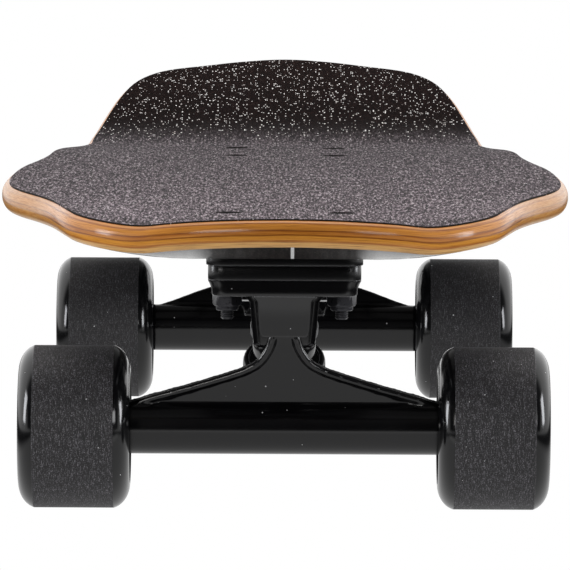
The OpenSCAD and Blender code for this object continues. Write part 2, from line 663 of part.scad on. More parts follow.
module axle_nuts() {
  both_sides() difference() {
    union() {
      translate([0, 0, ring_low + 1.01]) cylinder(r = 7.2, h = 4.4, $fn = 6);
      translate([0, 0, 17.4]) cylinder(r1 = 6, r2 = 5.4, h = 1.6);
    }
    translate([0, 0, 10]) cylinder(r = axle_bore_r, h = 12);
  }
}
module front_axle_nuts() { color(nut_grey) front() axle_nuts(); }
module rear_axle_nuts() { color(nut_grey) rear() axle_nuts(); }
module speed_rings(inboard_z) {
  inboard_end = inboard_z - bearing_half;
  both_sides() {
    tube(axle_bore_r, 5.9, ring_low, ring_low + 1);
    tube(axle_bore_r, 5.9, inboard_end - 0.99, inboard_end - 0.01);
  }
}
module front_speed_rings() { color(ring_grey) front() speed_rings(front_inboard_z); }
module rear_speed_rings() { color(ring_grey) rear() speed_rings(rear_inboard_z); }

module bearing_pair(inboard_z) {
  for (z = [outboard_z, inboard_z]) translate([0, 0, z]) children();
}
module ball_groove() { rotate_extrude() translate([ball_circle_r, 0]) circle(2.03, $fn = 32); }
module bearing_inners(inboard_z) {
  bearing_pair(inboard_z) difference() {
    tube(4.02, 6.1, -3.49, 3.49);
    ball_groove();
  }
}
// outer race with a thin shield at each face
module bearing_outers(inboard_z) {
  bearing_pair(inboard_z) difference() {
    lathe(with_mirror_y([[8.9, -3.0], [6.35, -3.0], [6.35, -3.4], [8.9, -3.4],
      [9.2, -bearing_half], [bearing_r, -bearing_half]]));
    ball_groove();
  }
}
module bearing_balls(inboard_z) {
  bearing_pair(inboard_z) around(7) translate([ball_circle_r, 0, 0]) sphere(1.985, $fn = 32);
}
module front_bearing_inners() {
  color(inner_steel) front() both_sides() bearing_inners(front_inboard_z);
}
module rear_bearing_inners() {
  color(inner_steel) rear() both_sides() bearing_inners(rear_inboard_z);
}
module front_bearing_spacers() {
  color([0.62, 0.62, 0.64]) front() both_sides() tube(axle_bore_r, 5.4, -5, 5);
}

// ---------- wheels, in the wheel frame; sections are [radius, z]
lip_r = 6;
lip_base_r = wheel_r - lip_r;
half_width = wheel_width / 2;
lip_z = half_width - lip_r;
hub_bore_r = 9.6;
pocket_r = bearing_r + 0.03;
vent_circle_r = 14.5;

// seat is the inboard half of the inner surface
module tyre(seat) {
  side = [lip_base_r - 1.6, 0.25 - half_width];
  lip = [for (a = [0:9:90]) [lip_base_r + lip_r * sin(a), -(lip_z + lip_r * cos(a))]];
  lathe(with_mirror_y(concat(seat, [side], lip)));
}
module front_tyre() { tyre([[17.03, -12.3], [17.8, -12.3], [18.4, -13], [20.6, -19.9]]); }
module rear_tyre() { tyre([[20.55, -19.1], [20.9, -19.9]]); }
module core() {
  difference() {
    lathe(with_mirror_y([[hub_bore_r, 5], [pocket_r, 5], [pocket_r, 12.2], [12.6, 12.2],
      [13, 11.4], [16, 11.4], [16.4, 12.2], [17, 12.2]]));
    around(12) for (z = [7.4, -12.4]) translate([vent_circle_r, 0, z])
      cylinder(r = 1.15, h = 5);
  }
}

// ---------- hub motor, in the wheel frame
stack_low = -9.3;
stack_height = 11.6;
stack_top = stack_low + stack_height;
tooth_count = 9;
tooth_width = 3;

// block that widens from half width inner at x = 10 to outer at x = 20
module wedge(inner, outer) {
  translate([0, 0, -12]) linear_extrude(18)
    polygon([[10, -inner], [20, -outer], [20, outer], [10, inner]]);
}
module rotor() {
  difference() {
    lathe([[18.3, -19], [20.5, -19], [20.5, 12.25], [16, 12.25], [15.4, 11.4], [13, 11.4],
      [12.4, 12.25], [pocket_r, 12.25], [pocket_r, 5], [hub_bore_r, 5], [hub_bore_r, 4.1],
      [18.3, 4.1]]);
    around(9) translate([14.2, 0, 3]) cylinder(r = 1, h = 12);
  }
}
module magnets() {
  around(14) intersection() {
    tube(16.75, 18.27, -10.8, 3.8);
    wedge(2.0, 3.9);
  }
}
module motor_cover() {
  difference() {
    lathe([[hub_bore_r, -12], [hub_bore_r, -11.1], [18.27, -11.1], [18.27, -18.9],
      [16.5, -18.9], [16, -18.2], [13, -18.2], [12.5, -18.9], [pocket_r, -18.9],
      [pocket_r, -12]]);
    around(6) translate([vent_circle_r, 0, -20]) cylinder(r = 1.1, h = 4);
  }
}
module stator() {
  difference() {
    union() {
      tube(axle_bore_r, 5.8, -11.99, 4.99);
      tube(axle_bore_r, 8.2, stack_low - 0.1, stack_top + 0.1);
      // teeth with curved tips
      around(tooth_count) {
        translate([7, -tooth_width / 2, stack_low]) cube([8, tooth_width, stack_height]);
        intersection() {
          tube(14.6, 16.2, stack_low, stack_top);
          wedge(3.1, 6.2);
        }
      }
    }
    translate([0, 0, -14]) cylinder(r = axle_bore_r, h = 22);
  }
}
module windings() {
  slot_width = tooth_width + 0.1;
  around(tooth_count) difference() {
    translate([8.7, -2.55, -10.6]) cube([5.5, 5.1, 14.2]);
    translate([8, -slot_width / 2, stack_low - 0.05]) cube([8, slot_width, stack_height + 0.1]);
  }
}
module motor_stators() { color([0.35, 0.35, 0.38]) rear() both_sides() stator(); }
module motor_windings() { color([0.72, 0.38, 0.2]) rear() both_sides() windings(); }

// ---------- wheel parts at their corners
module front_left_tyre() { color(tyre_black) front_left() front_tyre(); }
module front_left_core() { color(hub_black) front_left() core(); }
module front_left_bearing_outers() { color(steel) front_left() bearing_outers(front_inboard_z); }
module front_left_bearing_balls() {
  color(ball_steel) front_left() bearing_balls(front_inboard_z);
}
module front_right_tyre() { color(tyre_black) front_right() front_tyre(); }
module front_right_core() { color(hub_black) front_right() core(); }
module front_right_bearing_outers() {
  color(steel) front_right() bearing_outers(front_inboard_z);
}
module front_right_bearing_balls() {
  color(ball_steel) front_right() bearing_balls(front_inboard_z);
}
module rear_left_tyre() { color(tyre_black) rear_left() rear_tyre(); }
module rear_left_rotor() { color(rotor_grey) rear_left() rotor(); }
module rear_left_magnets() { color(steel) rear_left() magnets(); }
module rear_left_motor_cover() { color(cover_grey) rear_left() motor_cover(); }
module rear_left_bearing_outers() { color(steel) rear_left() bearing_outers(rear_inboard_z); }
module rear_left_bearing_balls() { color(ball_steel) rear_left() bearing_balls(rear_inboard_z); }
module rear_right_tyre() { color(tyre_black) rear_right() rear_tyre(); }
module rear_right_rotor() { color(rotor_grey) rear_right() rotor(); }
module rear_right_magnets() { color(steel) rear_right() magnets(); }
module rear_right_motor_cover() { color(cover_grey) rear_right() motor_cover(); }
module rear_right_bearing_outers() { color(steel) rear_right() bearing_outers(rear_inboard_z); }
module rear_right_bearing_balls() {
  color(ball_steel) rear_right() bearing_balls(rear_inboard_z);
}

// ---------- parts
// moves the middle of the board's length to y = 0
module centred() { translate([0, -(nose_end[1][1] + tail_end[1][1]) / 2, 0]) children(); }
centred() deck();
centred() grip_sheet();
centred() riser_pads();
centred() front_baseplate();
centred() rear_baseplate();
centred() pivot_cups();
centred() kingpins();
centred() kingpin_nuts();
centred() front_upper_bushing();
centred() front_lower_bushing();
centred() rear_upper_bushing();
centred() rear_lower_bushing();
centred() bushing_washers();
centred() deck_bolts();
centred() deck_nuts();
centred() drive_case();
centred() case_gasket();
centred() case_screws();
centred() battery_cells();
centred() cell_strips();
centred() motor_controller();
centred() charge_socket();
centred() button_bezel();
centred() motor_cables();
centred() power_button();
centred() charge_cap();
centred() front_hanger();
centred() front_axle();
centred() front_axle_nuts();
centred() front_speed_rings();
centred() front_bearing_inners();
centred() front_bearing_spacers();
centred() rear_hanger();
centred() rear_axle();
centred() rear_axle_nuts();
centred() rear_speed_rings();
centred() rear_bearing_inners();
centred() motor_stators();
centred() motor_windings();
centred() front_left_tyre();
centred() front_left_core();
centred() front_left_bearing_outers();
centred() front_left_bearing_balls();
centred() front_right_tyre();
centred() front_right_core();
centred() front_right_bearing_outers();
centred() front_right_bearing_balls();
centred() rear_left_tyre();
centred() rear_left_rotor();
centred() rear_left_magnets();
centred() rear_left_motor_cover();
centred() rear_left_bearing_outers();
centred() rear_left_bearing_balls();
centred() rear_right_tyre();
centred() rear_right_rotor();
centred() rear_right_magnets();
centred() rear_right_motor_cover();
centred() rear_right_bearing_outers();
centred() rear_right_bearing_balls();
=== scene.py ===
"""A motorised skateboard: a dished deck with kicked ends on two trucks, its wheels on the floor.

X runs across the board, the nose points to -Y, the tail to +Y, and Z is up from the floor.
Shapes are given in millimetres from the floor point midway between the axles; to_frame()
turns them into the metres of the loaded pieces. Shader and stage lengths are in metres.
"""
import json
import math

import bmesh
import bpy
import numpy as np
from mathutils import Matrix, Vector


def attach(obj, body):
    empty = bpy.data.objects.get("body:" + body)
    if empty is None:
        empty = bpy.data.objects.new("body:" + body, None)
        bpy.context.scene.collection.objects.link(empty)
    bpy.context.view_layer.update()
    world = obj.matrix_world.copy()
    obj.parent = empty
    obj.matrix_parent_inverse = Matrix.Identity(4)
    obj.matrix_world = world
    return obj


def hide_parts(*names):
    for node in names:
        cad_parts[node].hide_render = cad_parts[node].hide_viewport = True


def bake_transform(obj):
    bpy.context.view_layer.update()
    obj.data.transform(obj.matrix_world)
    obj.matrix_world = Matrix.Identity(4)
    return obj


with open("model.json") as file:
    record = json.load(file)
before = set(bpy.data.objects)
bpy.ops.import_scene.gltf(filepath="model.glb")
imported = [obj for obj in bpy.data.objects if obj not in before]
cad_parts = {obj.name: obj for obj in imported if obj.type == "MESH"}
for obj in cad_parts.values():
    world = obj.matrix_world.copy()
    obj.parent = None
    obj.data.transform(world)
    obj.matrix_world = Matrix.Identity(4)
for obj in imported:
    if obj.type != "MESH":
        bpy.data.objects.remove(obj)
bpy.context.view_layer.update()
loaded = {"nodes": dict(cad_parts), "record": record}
scene = bpy.context.scene

# ---------------------------------------------------------------- main sizes (mm) and angles
ORIGIN_Y = 33.25        # the loaded frame's origin, tailward of the point between the axles
WHEEL_R = 29.5
HALF_BASE = 217.0       # half the distance between the axles
DECK_Z = 95.0           # underside of the flat middle of the deck
DECK_T = 9.7
KINGPIN_TILT = 32.0     # degrees
SEAT_Z = DECK_Z - WHEEL_R   # underside of the deck, above the axles
PLATE_Y = 8             # middle of the risers and baseplate flange, inboard of the axle
PLATE_LOW = 50.3        # underside of the baseplate flange, above the axles
FIT_GAP = 0.03          # keeps stacked faces apart


# ---------------------------------------------------------------- placing
def shift(x, y, z):
    frame = np.eye(4)
    frame[:3, 3] = (x, y, z)
    return frame


def turn(axis, degrees):
    return np.array(Matrix.Rotation(math.radians(degrees), 4, axis))


def placed(frame, points):
    points = np.array(points, float).reshape(-1, 3)
    return points @ frame[:3, :3].T + frame[:3, 3]


def to_frame(points):
    """Metres in the loaded frame, from millimetres between the axles."""
    return (np.array(points, float) - np.array([0, ORIGIN_Y, 0])) * 0.001


# Truck frames: origin on the axle, +Y toward the middle of the board, +Z up
FRONT = shift(0, -HALF_BASE, WHEEL_R)
REAR = shift(0, HALF_BASE, WHEEL_R) @ turn("Z", 180)
TRUCKS = {"front": FRONT, "rear": REAR}


def kingpin_frame(truck):
    """Origin at the hanger's ring, +Z down along the kingpin."""
    return truck @ shift(0, 22, 20) @ turn("X", 180 + KINGPIN_TILT)


def pivot_frame(truck):
    """Origin in the pivot housing, +Z down along the hanger's pivot."""
    return truck @ shift(0, -20, 45.5) @ turn("X", 180 + math.degrees(math.atan2(42, 25.5)))


def wheel_frame(x, y):
    """+Z along the axle, away from the board."""
    return shift(x, y, WHEEL_R) @ turn("Z", 0 if x > 0 else 180) @ turn("Y", 90)


# Deck screws: (frame at axle height, side of the board)
SCREW_X, SCREW_MID_Y, SCREW_HALF_Y = 20.65, 12, 27
SCREWS = [(truck @ shift(side * SCREW_X, SCREW_MID_Y + end * SCREW_HALF_Y, 0), side)
          for truck in (FRONT, REAR) for side in (-1, 1) for end in (-1, 1)]


# ---------------------------------------------------------------- mesh building
def link(name, data):
    obj = bpy.data.objects.new(name, data)
    scene.collection.objects.link(obj)
    return obj


def tidy(mesh, weld=False):
    """Turn the normals outward, after joining doubled vertices if asked."""
    work = bmesh.new()
    work.from_mesh(mesh)
    if weld:
        bmesh.ops.remove_doubles(work, verts=work.verts, dist=1e-6)
    bmesh.ops.recalc_face_normals(work, faces=work.faces)
    work.to_mesh(mesh)
    work.free()


def shade(obj, sharp):
    """Smooth shading, with edges over `sharp` degrees kept crisp (None keeps all smooth)."""
    mesh = obj.data
    mesh.polygons.foreach_set("use_smooth", [True] * len(mesh.polygons))
    if sharp is not None:
        mesh.set_sharp_from_angle(angle=math.radians(sharp))
    mesh.update()


class Shell:
    """Gathers shapes, each a (points, faces) pair, into one mesh."""

    def __init__(self):
        self.points, self.faces, self.slots, self.count = [], [], [], 0

    def add(self, shape, frame=np.eye(4), slot=0):
        points, faces = shape
        self.points.append(placed(frame, points))
        for face in faces:
            self.faces.append([i + self.count for i in face])
            self.slots.append(slot)
        self.count += len(points)
        return self

    def build(self, name, materials=(), sharp=35):
        mesh = bpy.data.meshes.new(name)
        mesh.from_pydata(to_frame(np.vstack(self.points)).tolist(), [], self.faces)
        for material in materials:
            mesh.materials.append(material)
        mesh.polygons.foreach_set("material_index", self.slots)
        tidy(mesh)
        obj = link(name, mesh)
        shade(obj, sharp)
        return obj


def circle(radius, z, n):
    angles = [2 * math.pi * k / n for k in range(n)]
    return [(radius * math.cos(a), radius * math.sin(a), z) for a in angles]


def lathe(profile, n):
    """An (r, z) profile turned round local z."""
    points, faces, rings = [], [], []
    for r, z in profile:
        if r < 1e-6:
            rings.append([len(points)] * n)
            points.append((0, 0, z))
        else:
            rings.append(list(range(len(points), len(points) + n)))
            points.extend(circle(r, z, n))
    for a, b in zip(rings, rings[1:]):
        for k in range(n):
            j = (k + 1) % n
            face = list(dict.fromkeys([a[k], a[j], b[j], b[k]]))
            if len(face) > 2:
                faces.append(face)
    return points, faces


def closed_lathe(profile, n):
    return lathe(profile + [profile[0]], n)


def loft(rings, caps=True):
    points, faces, n = [], [], len(rings[0])
    for ring in rings:
        points.extend(ring)
    for i in range(len(rings) - 1):
        for k in range(n):
            j = (k + 1) % n
            faces.append([i * n + k, i * n + j, (i + 1) * n + j, (i + 1) * n + k])
    if caps:
        faces.append(list(range(n))[::-1])
        faces.append([(len(rings) - 1) * n + k for k in range(n)])
    return points, faces


def prism(outline, z0, z1):
    return loft([[(x, y, z) for x, y in outline] for z in (z0, z1)])


def upright(frame, x, width, outline):
    """A prism whose outline is in the frame's (y, z) plane, centred on x, and its frame."""
    return prism(outline, 0, width), frame @ shift(x - width / 2, 0, 0) @ turn("Z", 90) @ turn("X", 90)


def rounded_rect(x, y, r, mid_y=0.0, steps=7):
    outline = []
    for side, end, start in ((1, 1, 0), (-1, 1, 90), (-1, -1, 180), (1, -1, 270)):
        for k in range(steps + 1):
            a = math.radians(start + 90 * k / steps)
            outline.append((side * (x / 2 - r) + r * math.cos(a),
                            end * (y / 2 - r) + r * math.sin(a) + mid_y))
    return outline


def slab(x, y, r, z0, z1, edge, mid_y=0.0):
    """A rounded plate with rounded upper and lower edges."""
    stations = ((z0, edge), (z0 + edge * 0.3, edge * 0.3), (z0 + edge, 0),
                (z1 - edge, 0), (z1 - edge * 0.3, edge * 0.3), (z1, edge))
    return loft([[(a, b, z) for a, b in
                  rounded_rect(x - 2 * inset, y - 2 * inset, max(r - inset, 0.2), mid_y)]
                 for z, inset in stations])


def spline(stops, steps):
    """A smooth path through all the points."""
    stops = [np.array(stop, float) for stop in stops]
    path = []
    for i in range(len(stops) - 1):
        a, b, c, d = stops[max(0, i - 1)], stops[i], stops[i + 1], stops[min(len(stops) - 1, i + 2)]
        for k in range(steps):
            t = k / steps
            path.append(0.5 * (2 * b + (c - a) * t + (2 * a - 5 * b + 4 * c - d) * t * t
                               + (3 * b - a - 3 * c + d) * t ** 3))
    path.append(stops[-1])
    return path


def sweep(path, radius, n, up):
    """A round bar along a path; radius is a function of the share along it."""
    rings, last, side = [], len(path) - 1, None
    for i, centre in enumerate(path):
        along = np.array(path[min(last, i + 1)]) - np.array(path[max(0, i - 1)])
        along = along / np.linalg.norm(along)
        if side is None:
            side = np.cross(along, up)
        side = side - along * (side @ along)
        side = side / np.linalg.norm(side)
        other = np.cross(along, side)
        angles = [2 * math.pi * k / n for k in range(n)]
        rings.append([np.array(centre) + radius(i / last) * (side * math.cos(a) + other * math.sin(a))
                      for a in angles])
    return loft(rings)


def apply_modifiers(obj):
    graph = bpy.context.evaluated_depsgraph_get()
    mesh = bpy.data.meshes.new_from_object(obj.evaluated_get(graph), preserve_all_data_layers=True,
                                           depsgraph=graph)
    obj.modifiers.clear()
    obj.data = mesh


def carve(obj, cutter, operation="DIFFERENCE"):
    cut = obj.modifiers.new("cut", "BOOLEAN")
    cut.operation, cut.solver, cut.object = operation, "EXACT", cutter
    cut.material_mode = "INDEX"
    apply_modifiers(obj)
    bpy.data.objects.remove(cutter)


def merge(parts, name):
    """Join built meshes; the result has the material slots of the first."""
    joined = bmesh.new()
    for part in parts:
        joined.from_mesh(part.data)
    mesh = bpy.data.meshes.new(name)
    joined.to_mesh(mesh)
    joined.free()
    for material in parts[0].data.materials:
        mesh.materials.append(material)
    for part in parts:
        bpy.data.objects.remove(part)
    return link(name, mesh)


# ---------------------------------------------------------------- shader nodes
def srgb(*channels):
    """A linear colour from display channels of 0 to 255."""
    return tuple(((c / 255 + 0.055) / 1.055) ** 2.4 if c > 10 else c / 255 / 12.92
                 for c in channels) + (1.0,)


class Graph:
    """Short ways to add nodes to the emptied node tree of a material or world."""

    def __init__(self, owner, coordinates="Object"):
        owner.use_nodes = True
        self.tree = owner.node_tree
        self.tree.nodes.clear()
        self.place = self.node("TexCoord").outputs[coordinates]

    def put(self, socket, value):
        if isinstance(value, bpy.types.NodeSocket):
            self.tree.links.new(value, socket)
        elif value is not None:
            socket.default_value = value

    def node(self, kind, props=None, **inputs):
        node = self.tree.nodes.new("ShaderNode" + kind)
        for key, value in (props or {}).items():
            setattr(node, key, value)
        for key, value in inputs.items():
            self.put(node.inputs[key.replace("_", " ")], value)
        return node

    def output(self, shader, kind="Material"):
        self.put(self.node("Output" + kind).inputs[0], shader.outputs[0])

    def scaled(self, x, y, z):
        mapping = self.node("Mapping", Vector=self.place)
        mapping.inputs["Scale"].default_value = (x, y, z)
        return mapping.outputs[0]

    def noise(self, scale, detail=3.0, rough=0.5, at=None, distortion=0.0):
        return self.node("TexNoise", Vector=at or self.place, Scale=scale, Detail=detail,
                         Roughness=rough, Distortion=distortion).outputs[0]

    def voronoi(self, scale, at=None):
        outputs = self.node("TexVoronoi", Vector=at or self.place, Scale=scale).outputs
        return outputs["Distance"], outputs["Color"]

    def math(self, operation, a, b=0.0):
        node = self.node("Math", {"operation": operation})
        self.put(node.inputs[0], a)
        self.put(node.inputs[1], b)
        return node.outputs[0]

    def times(self, a, b):
        return self.math("MULTIPLY", a, b)

    def plus(self, a, b):
        return self.math("ADD", a, b)

    def minus(self, a, b):
        return self.math("SUBTRACT", a, b)

    def less(self, a, b):
        return self.math("LESS_THAN", a, b)

    def remap(self, value, span, to=(0.0, 1.0), smooth=True):
        """Take the two ends of `span` to the two values of `to`."""
        node = self.node("MapRange", {"interpolation_type": "SMOOTHSTEP" if smooth else "LINEAR"})
        for socket, item in zip(node.inputs, (value, *span, *to)):
            self.put(socket, item)
        return node.outputs[0]

    def mix(self, share, a, b, blend="MIX"):
        node = self.node("Mix", {"data_type": "RGBA", "blend_type": blend})
        for i, item in ((0, share), (6, a), (7, b)):
            self.put(node.inputs[i], item)
        return node.outputs[2]

    def mix_value(self, share, a, b):
        node = self.node("Mix", {"data_type": "FLOAT"})
        for i, item in ((0, share), (2, a), (3, b)):
            self.put(node.inputs[i], item)
        return node.outputs[0]

    def scale_colour(self, colour, red, green, blue):
        factors = self.node("CombineColor", Red=red, Green=green, Blue=blue).outputs[0]
        return self.mix(1.0, colour, factors, "MULTIPLY")

    def ramp(self, value, stops):
        """Stops are (position, red, green, blue) with channels of 0 to 255."""
        node = self.node("ValToRGB")
        self.put(node.inputs[0], value)
        elements = node.color_ramp.elements
        while len(elements) < len(stops):
            elements.new(0.5)
        for i, (position, *channels) in enumerate(stops):
            elements[i].position = position
            elements[i].color = srgb(*channels)
        return node.outputs[0]

    def xyz(self, vector=None):
        return self.node("SeparateXYZ", Vector=vector or self.place).outputs

    def attribute(self, name):
        return self.node("Attribute", {"attribute_name": name}).outputs["Fac"]

    def bevel(self, radius, samples=6):
        return self.node("Bevel", {"samples": samples}, Radius=radius).outputs[0]

    def bump(self, height, strength, distance, normal=None):
        return self.node("Bump", Height=height, Strength=strength, Distance=distance,
                         Normal=normal).outputs[0]

    def dust(self, colour, share, size=0.28):
        """Sparse pale specks on a dark surface."""
        distance, cell = self.voronoi(900.0)
        random = self.xyz(cell)
        chosen = self.less(random[0], share)
        near = self.less(distance, self.times(random[1], size))
        return self.mix(self.times(chosen, near), colour, (0.55, 0.55, 0.56, 1))


class Mat(Graph):
    """A material with one Principled shader."""

    def __init__(self, name, **settings):
        self.material = bpy.data.materials.new(name)
        super().__init__(self.material)
        self.principled = self.node("BsdfPrincipled")
        self.output(self.principled)
        self.set(**settings)

    def set(self, **settings):
        for key, value in settings.items():
            self.put(self.principled.inputs[key.replace("_", " ")], value)


# ---------------------------------------------------------------- materials
def black(name, base, rough, grain, depth, edge=0.0, dust=0.0, spec=0.5, coat=0.0, line=0.0):
    """Paint, plastic or rubber. grain and depth set the fine bump, edge its rounding radius,
    dust the share of specks, and the last argument the grey of a painted highlight along the edges."""
    m = Mat(name, Specular_IOR_Level=spec, Coat_Weight=coat, Coat_Roughness=0.12)
    broad = m.noise(60, detail=2)
    colour = m.mix(broad, tuple(c * 0.8 for c in base) + (1,), tuple(c * 1.25 for c in base) + (1,))
    if dust:
        colour = m.dust(colour, share=dust)
    if line:
        # painted highlight: edges are painted grey where the rounded normal leaves the face's own
        flat = m.node("NewGeometry").outputs["Normal"]
        dot = m.node("VectorMath", {"operation": "DOT_PRODUCT"})
        m.put(dot.inputs[0], m.bevel(0.0006, samples=8))
        m.put(dot.inputs[1], flat)
        wear_and_edge_glint = m.remap(m.minus(1.0, dot.outputs["Value"]), (0.02, 0.16))
        colour = m.mix(wear_and_edge_glint, colour, (line, line, line * 1.05, 1))
    fine = m.noise(grain, detail=2, rough=0.6)
    m.set(Base_Color=colour,
          Roughness=m.plus(m.times(fine, 0.10), m.plus(m.times(broad, 0.08), rough - 0.09)),
          Normal=m.bump(fine, strength=depth, distance=0.0001,
                        normal=m.bevel(edge) if edge else None))
    return m.material


def metal(name, base, rough, grain, depth, edge=0.0, metallic=1.0, stretch=(1, 1, 1)):
    """grain, depth and stretch set the fine bump, and edge its rounding radius."""
    m = Mat(name, Metallic=metallic)
    fine = m.noise(grain, detail=3, rough=0.6, at=m.scaled(*stretch))
    broad = m.noise(90, detail=2)
    m.set(Base_Color=m.mix(broad, tuple(c * 0.85 for c in base) + (1,),
                           tuple(min(1, c * 1.12) for c in base) + (1,)),
          Roughness=m.plus(m.times(fine, 0.14), rough - 0.06),
          Normal=m.bump(fine, strength=depth, distance=0.00005,
                        normal=m.bevel(edge) if edge else None))
    return m.material


def wood_edge():
    """Lacquered plywood; "ply" is the share of the thickness and "run" metres round the rim."""
    m = Mat("wood_edge", Coat_Weight=0.55, Coat_Roughness=0.17, Coat_IOR=1.45,
            Specular_IOR_Level=0.12)
    ply, run = m.attribute("ply"), m.attribute("run")

    def rim_space(run_scale, ply_scale):
        return m.node("CombineXYZ", X=m.times(run, run_scale), Y=m.times(ply, ply_scale),
                      Z=0.0).outputs[0]

    # plies, made wavy
    wobble = m.noise(1.0, detail=4, rough=0.6, at=rim_space(28.0, 5.0))
    height = m.plus(ply, m.times(m.minus(wobble, 0.5), 0.13))
    plies = m.ramp(height, [
        (0.00, 244, 196, 136), (0.12, 246, 198, 134), (0.18, 190, 118, 46),
        (0.24, 238, 168, 78), (0.34, 240, 170, 78), (0.385, 134, 70, 20),
        (0.43, 216, 142, 58), (0.50, 204, 128, 46), (0.555, 140, 76, 24),
        (0.60, 226, 152, 66), (0.78, 232, 160, 78), (0.84, 160, 92, 32),
        (0.90, 230, 156, 72), (1.0, 220, 140, 58)])
    # dark and light streaks of grain
    streak = m.noise(1.0, detail=5, rough=0.65, at=rim_space(60.0, 34.0))
    colour = m.mix(m.remap(streak, (0.46, 0.72), to=(0.0, 0.7)), plies, srgb(120, 62, 18))
    colour = m.mix(m.remap(streak, (0.55, 0.25), to=(0.0, 0.35)), colour, srgb(252, 196, 112))
    # painted highlight: the wide part behind the nose is painted paler, for the haze of light on its
    # lacquered edge
    y = m.xyz()[1]
    pale = m.times(m.remap(y, (-0.262, -0.225), to=(0.0, 0.60)),
                   m.remap(y, (0.0, 0.10), to=(1.0, 0.0)))
    wavy = m.noise(1.0, detail=4, rough=0.6, at=rim_space(130.0, 14.0), distortion=1.2)
    fair = m.ramp(wavy, [(0.3, 176, 116, 66), (0.5, 216, 164, 112), (0.72, 232, 192, 144)])
    lacquer_tint = (0.78, 0.70, 0.50, 1)
    m.set(Base_Color=m.mix(1.0, m.mix(pale, colour, fair), lacquer_tint, "MULTIPLY"),
          Roughness=m.remap(streak, (0.3, 0.7), to=(0.32, 0.48)),
          Normal=m.bump(streak, strength=0.12, distance=0.0002),
          Coat_Normal=m.bump(m.noise(220, detail=2), strength=0.05, distance=0.0004))
    return m.material


def underside():
    m = Mat("dark_underside", Coat_Weight=1.0, Coat_Roughness=0.035, Coat_IOR=1.9)
    x, y, _ = m.xyz()
    grain = m.noise(1.0, detail=5, rough=0.6, at=m.scaled(260, 12, 12))
    fine = m.noise(1500, detail=2, rough=0.8)
    stain = m.ramp(grain, [(0.3, 12, 11, 12), (0.55, 24, 23, 24), (0.8, 44, 43, 44)])
    soot = m.ramp(fine, [(0.46, 8, 6, 6), (0.58, 34, 28, 27), (0.70, 150, 138, 130)])
    colour = m.mix(0.55, stain, soot)
    # a short pale pinstripe under the nose, just off the centre line
    stripe_x, stripe_half, stripe_end_y = 0.0027, 0.0006, -0.318
    on_line = m.less(m.math("ABSOLUTE", m.minus(x, stripe_x)), stripe_half)
    stripe = m.times(on_line, m.less(y, stripe_end_y))
    colour = m.mix(stripe, colour, (0.75, 0.75, 0.75, 1))
    # the middle strip is dull, the sides glossy
    side = m.remap(m.math("ABSOLUTE", x), (0.024, 0.034))
    ripple = m.noise(1.0, detail=3, rough=0.6, at=m.scaled(900, 60, 900))
    m.set(Base_Color=colour,
          Coat_Weight=m.mix_value(side, 0.0, 0.9),
          Specular_IOR_Level=m.mix_value(side, 0.03, 0.5),
          Roughness=m.remap(grain, (0.3, 0.7), to=(0.35, 0.5)),
          Coat_Normal=m.bump(ripple, strength=0.10, distance=0.0002))
    return m.material


def grit():
    m = Mat("grit", Specular_IOR_Level=0.2)
    x, y, _ = m.xyz()
    # small grains; stretched ones make a painted sheen along the flat middle, seen at a shallow angle
    fine = m.noise(1700, detail=2, rough=0.8)
    stretched = m.noise(1.0, detail=2, rough=0.85, at=m.scaled(1150, 105, 1150))
    flat = m.remap(y, (0.225, 0.285), to=(1.0, 0.0))
    facing = m.node("LayerWeight", Blend=0.5).outputs["Facing"]
    graze = m.remap(facing, (0.80, 0.985))
    pale = m.ramp(stretched, [(0.37, 12, 7, 9), (0.45, 54, 44, 49), (0.52, 104, 91, 97),
                              (0.60, 148, 134, 140), (0.68, 214, 202, 206)])
    # the painted sheen is paler toward the nose and darker toward the rails
    fade = m.remap(y, (-0.30, 0.20), to=(1.12, 0.50), smooth=False)
    rails = m.remap(m.math("ABSOLUTE", x), (0.05, 0.10), to=(1.0, 0.86))
    pale = m.scale_colour(pale, *[m.times(fade, rails) for _ in range(3)])
    dark = m.ramp(fine, [(0.36, 6, 3, 3), (0.50, 18, 9, 8), (0.60, 38, 24, 22), (0.72, 84, 66, 62)])
    # painted shade: the dark grains are painted darker at the tail's bend and lighter up the tail
    lift = m.remap(y, (0.235, 0.345), to=(0.45, 1.25), smooth=False)
    dark = m.scale_colour(dark, lift, lift, lift)
    # painted sheen: the grains are painted pale where the flat middle is seen at a shallow angle, and
    # more widely toward the tail
    tailward = m.times(m.remap(y, (0.10, 0.20)), m.remap(facing, (0.60, 0.82)))
    colour = m.mix(m.times(flat, m.math("MAXIMUM", graze, tailward)), dark, pale)
    # painted glints: single grains painted bright as if catching the light, fewer along the flat
    # middle
    distance, cell = m.voronoi(1350, at=m.scaled(1, 0.5, 0.8))
    random = m.xyz(cell)
    chosen = m.less(random[0], m.mix_value(flat, 0.21, 0.04))
    spark = m.times(chosen, m.less(distance, m.plus(m.times(random[1], 0.30), 0.20)))
    colour = m.mix(spark, colour, m.mix(random[2], srgb(186, 176, 172), srgb(255, 253, 250)))
    m.set(Base_Color=colour,
          Specular_IOR_Level=m.mix_value(flat, 0.03, 0.2),
          Roughness=m.remap(fine, (0.3, 0.7), to=(0.75, 0.95)),
          Normal=m.bump(m.voronoi(1500)[0], strength=0.5, distance=0.0003))
    return m.material


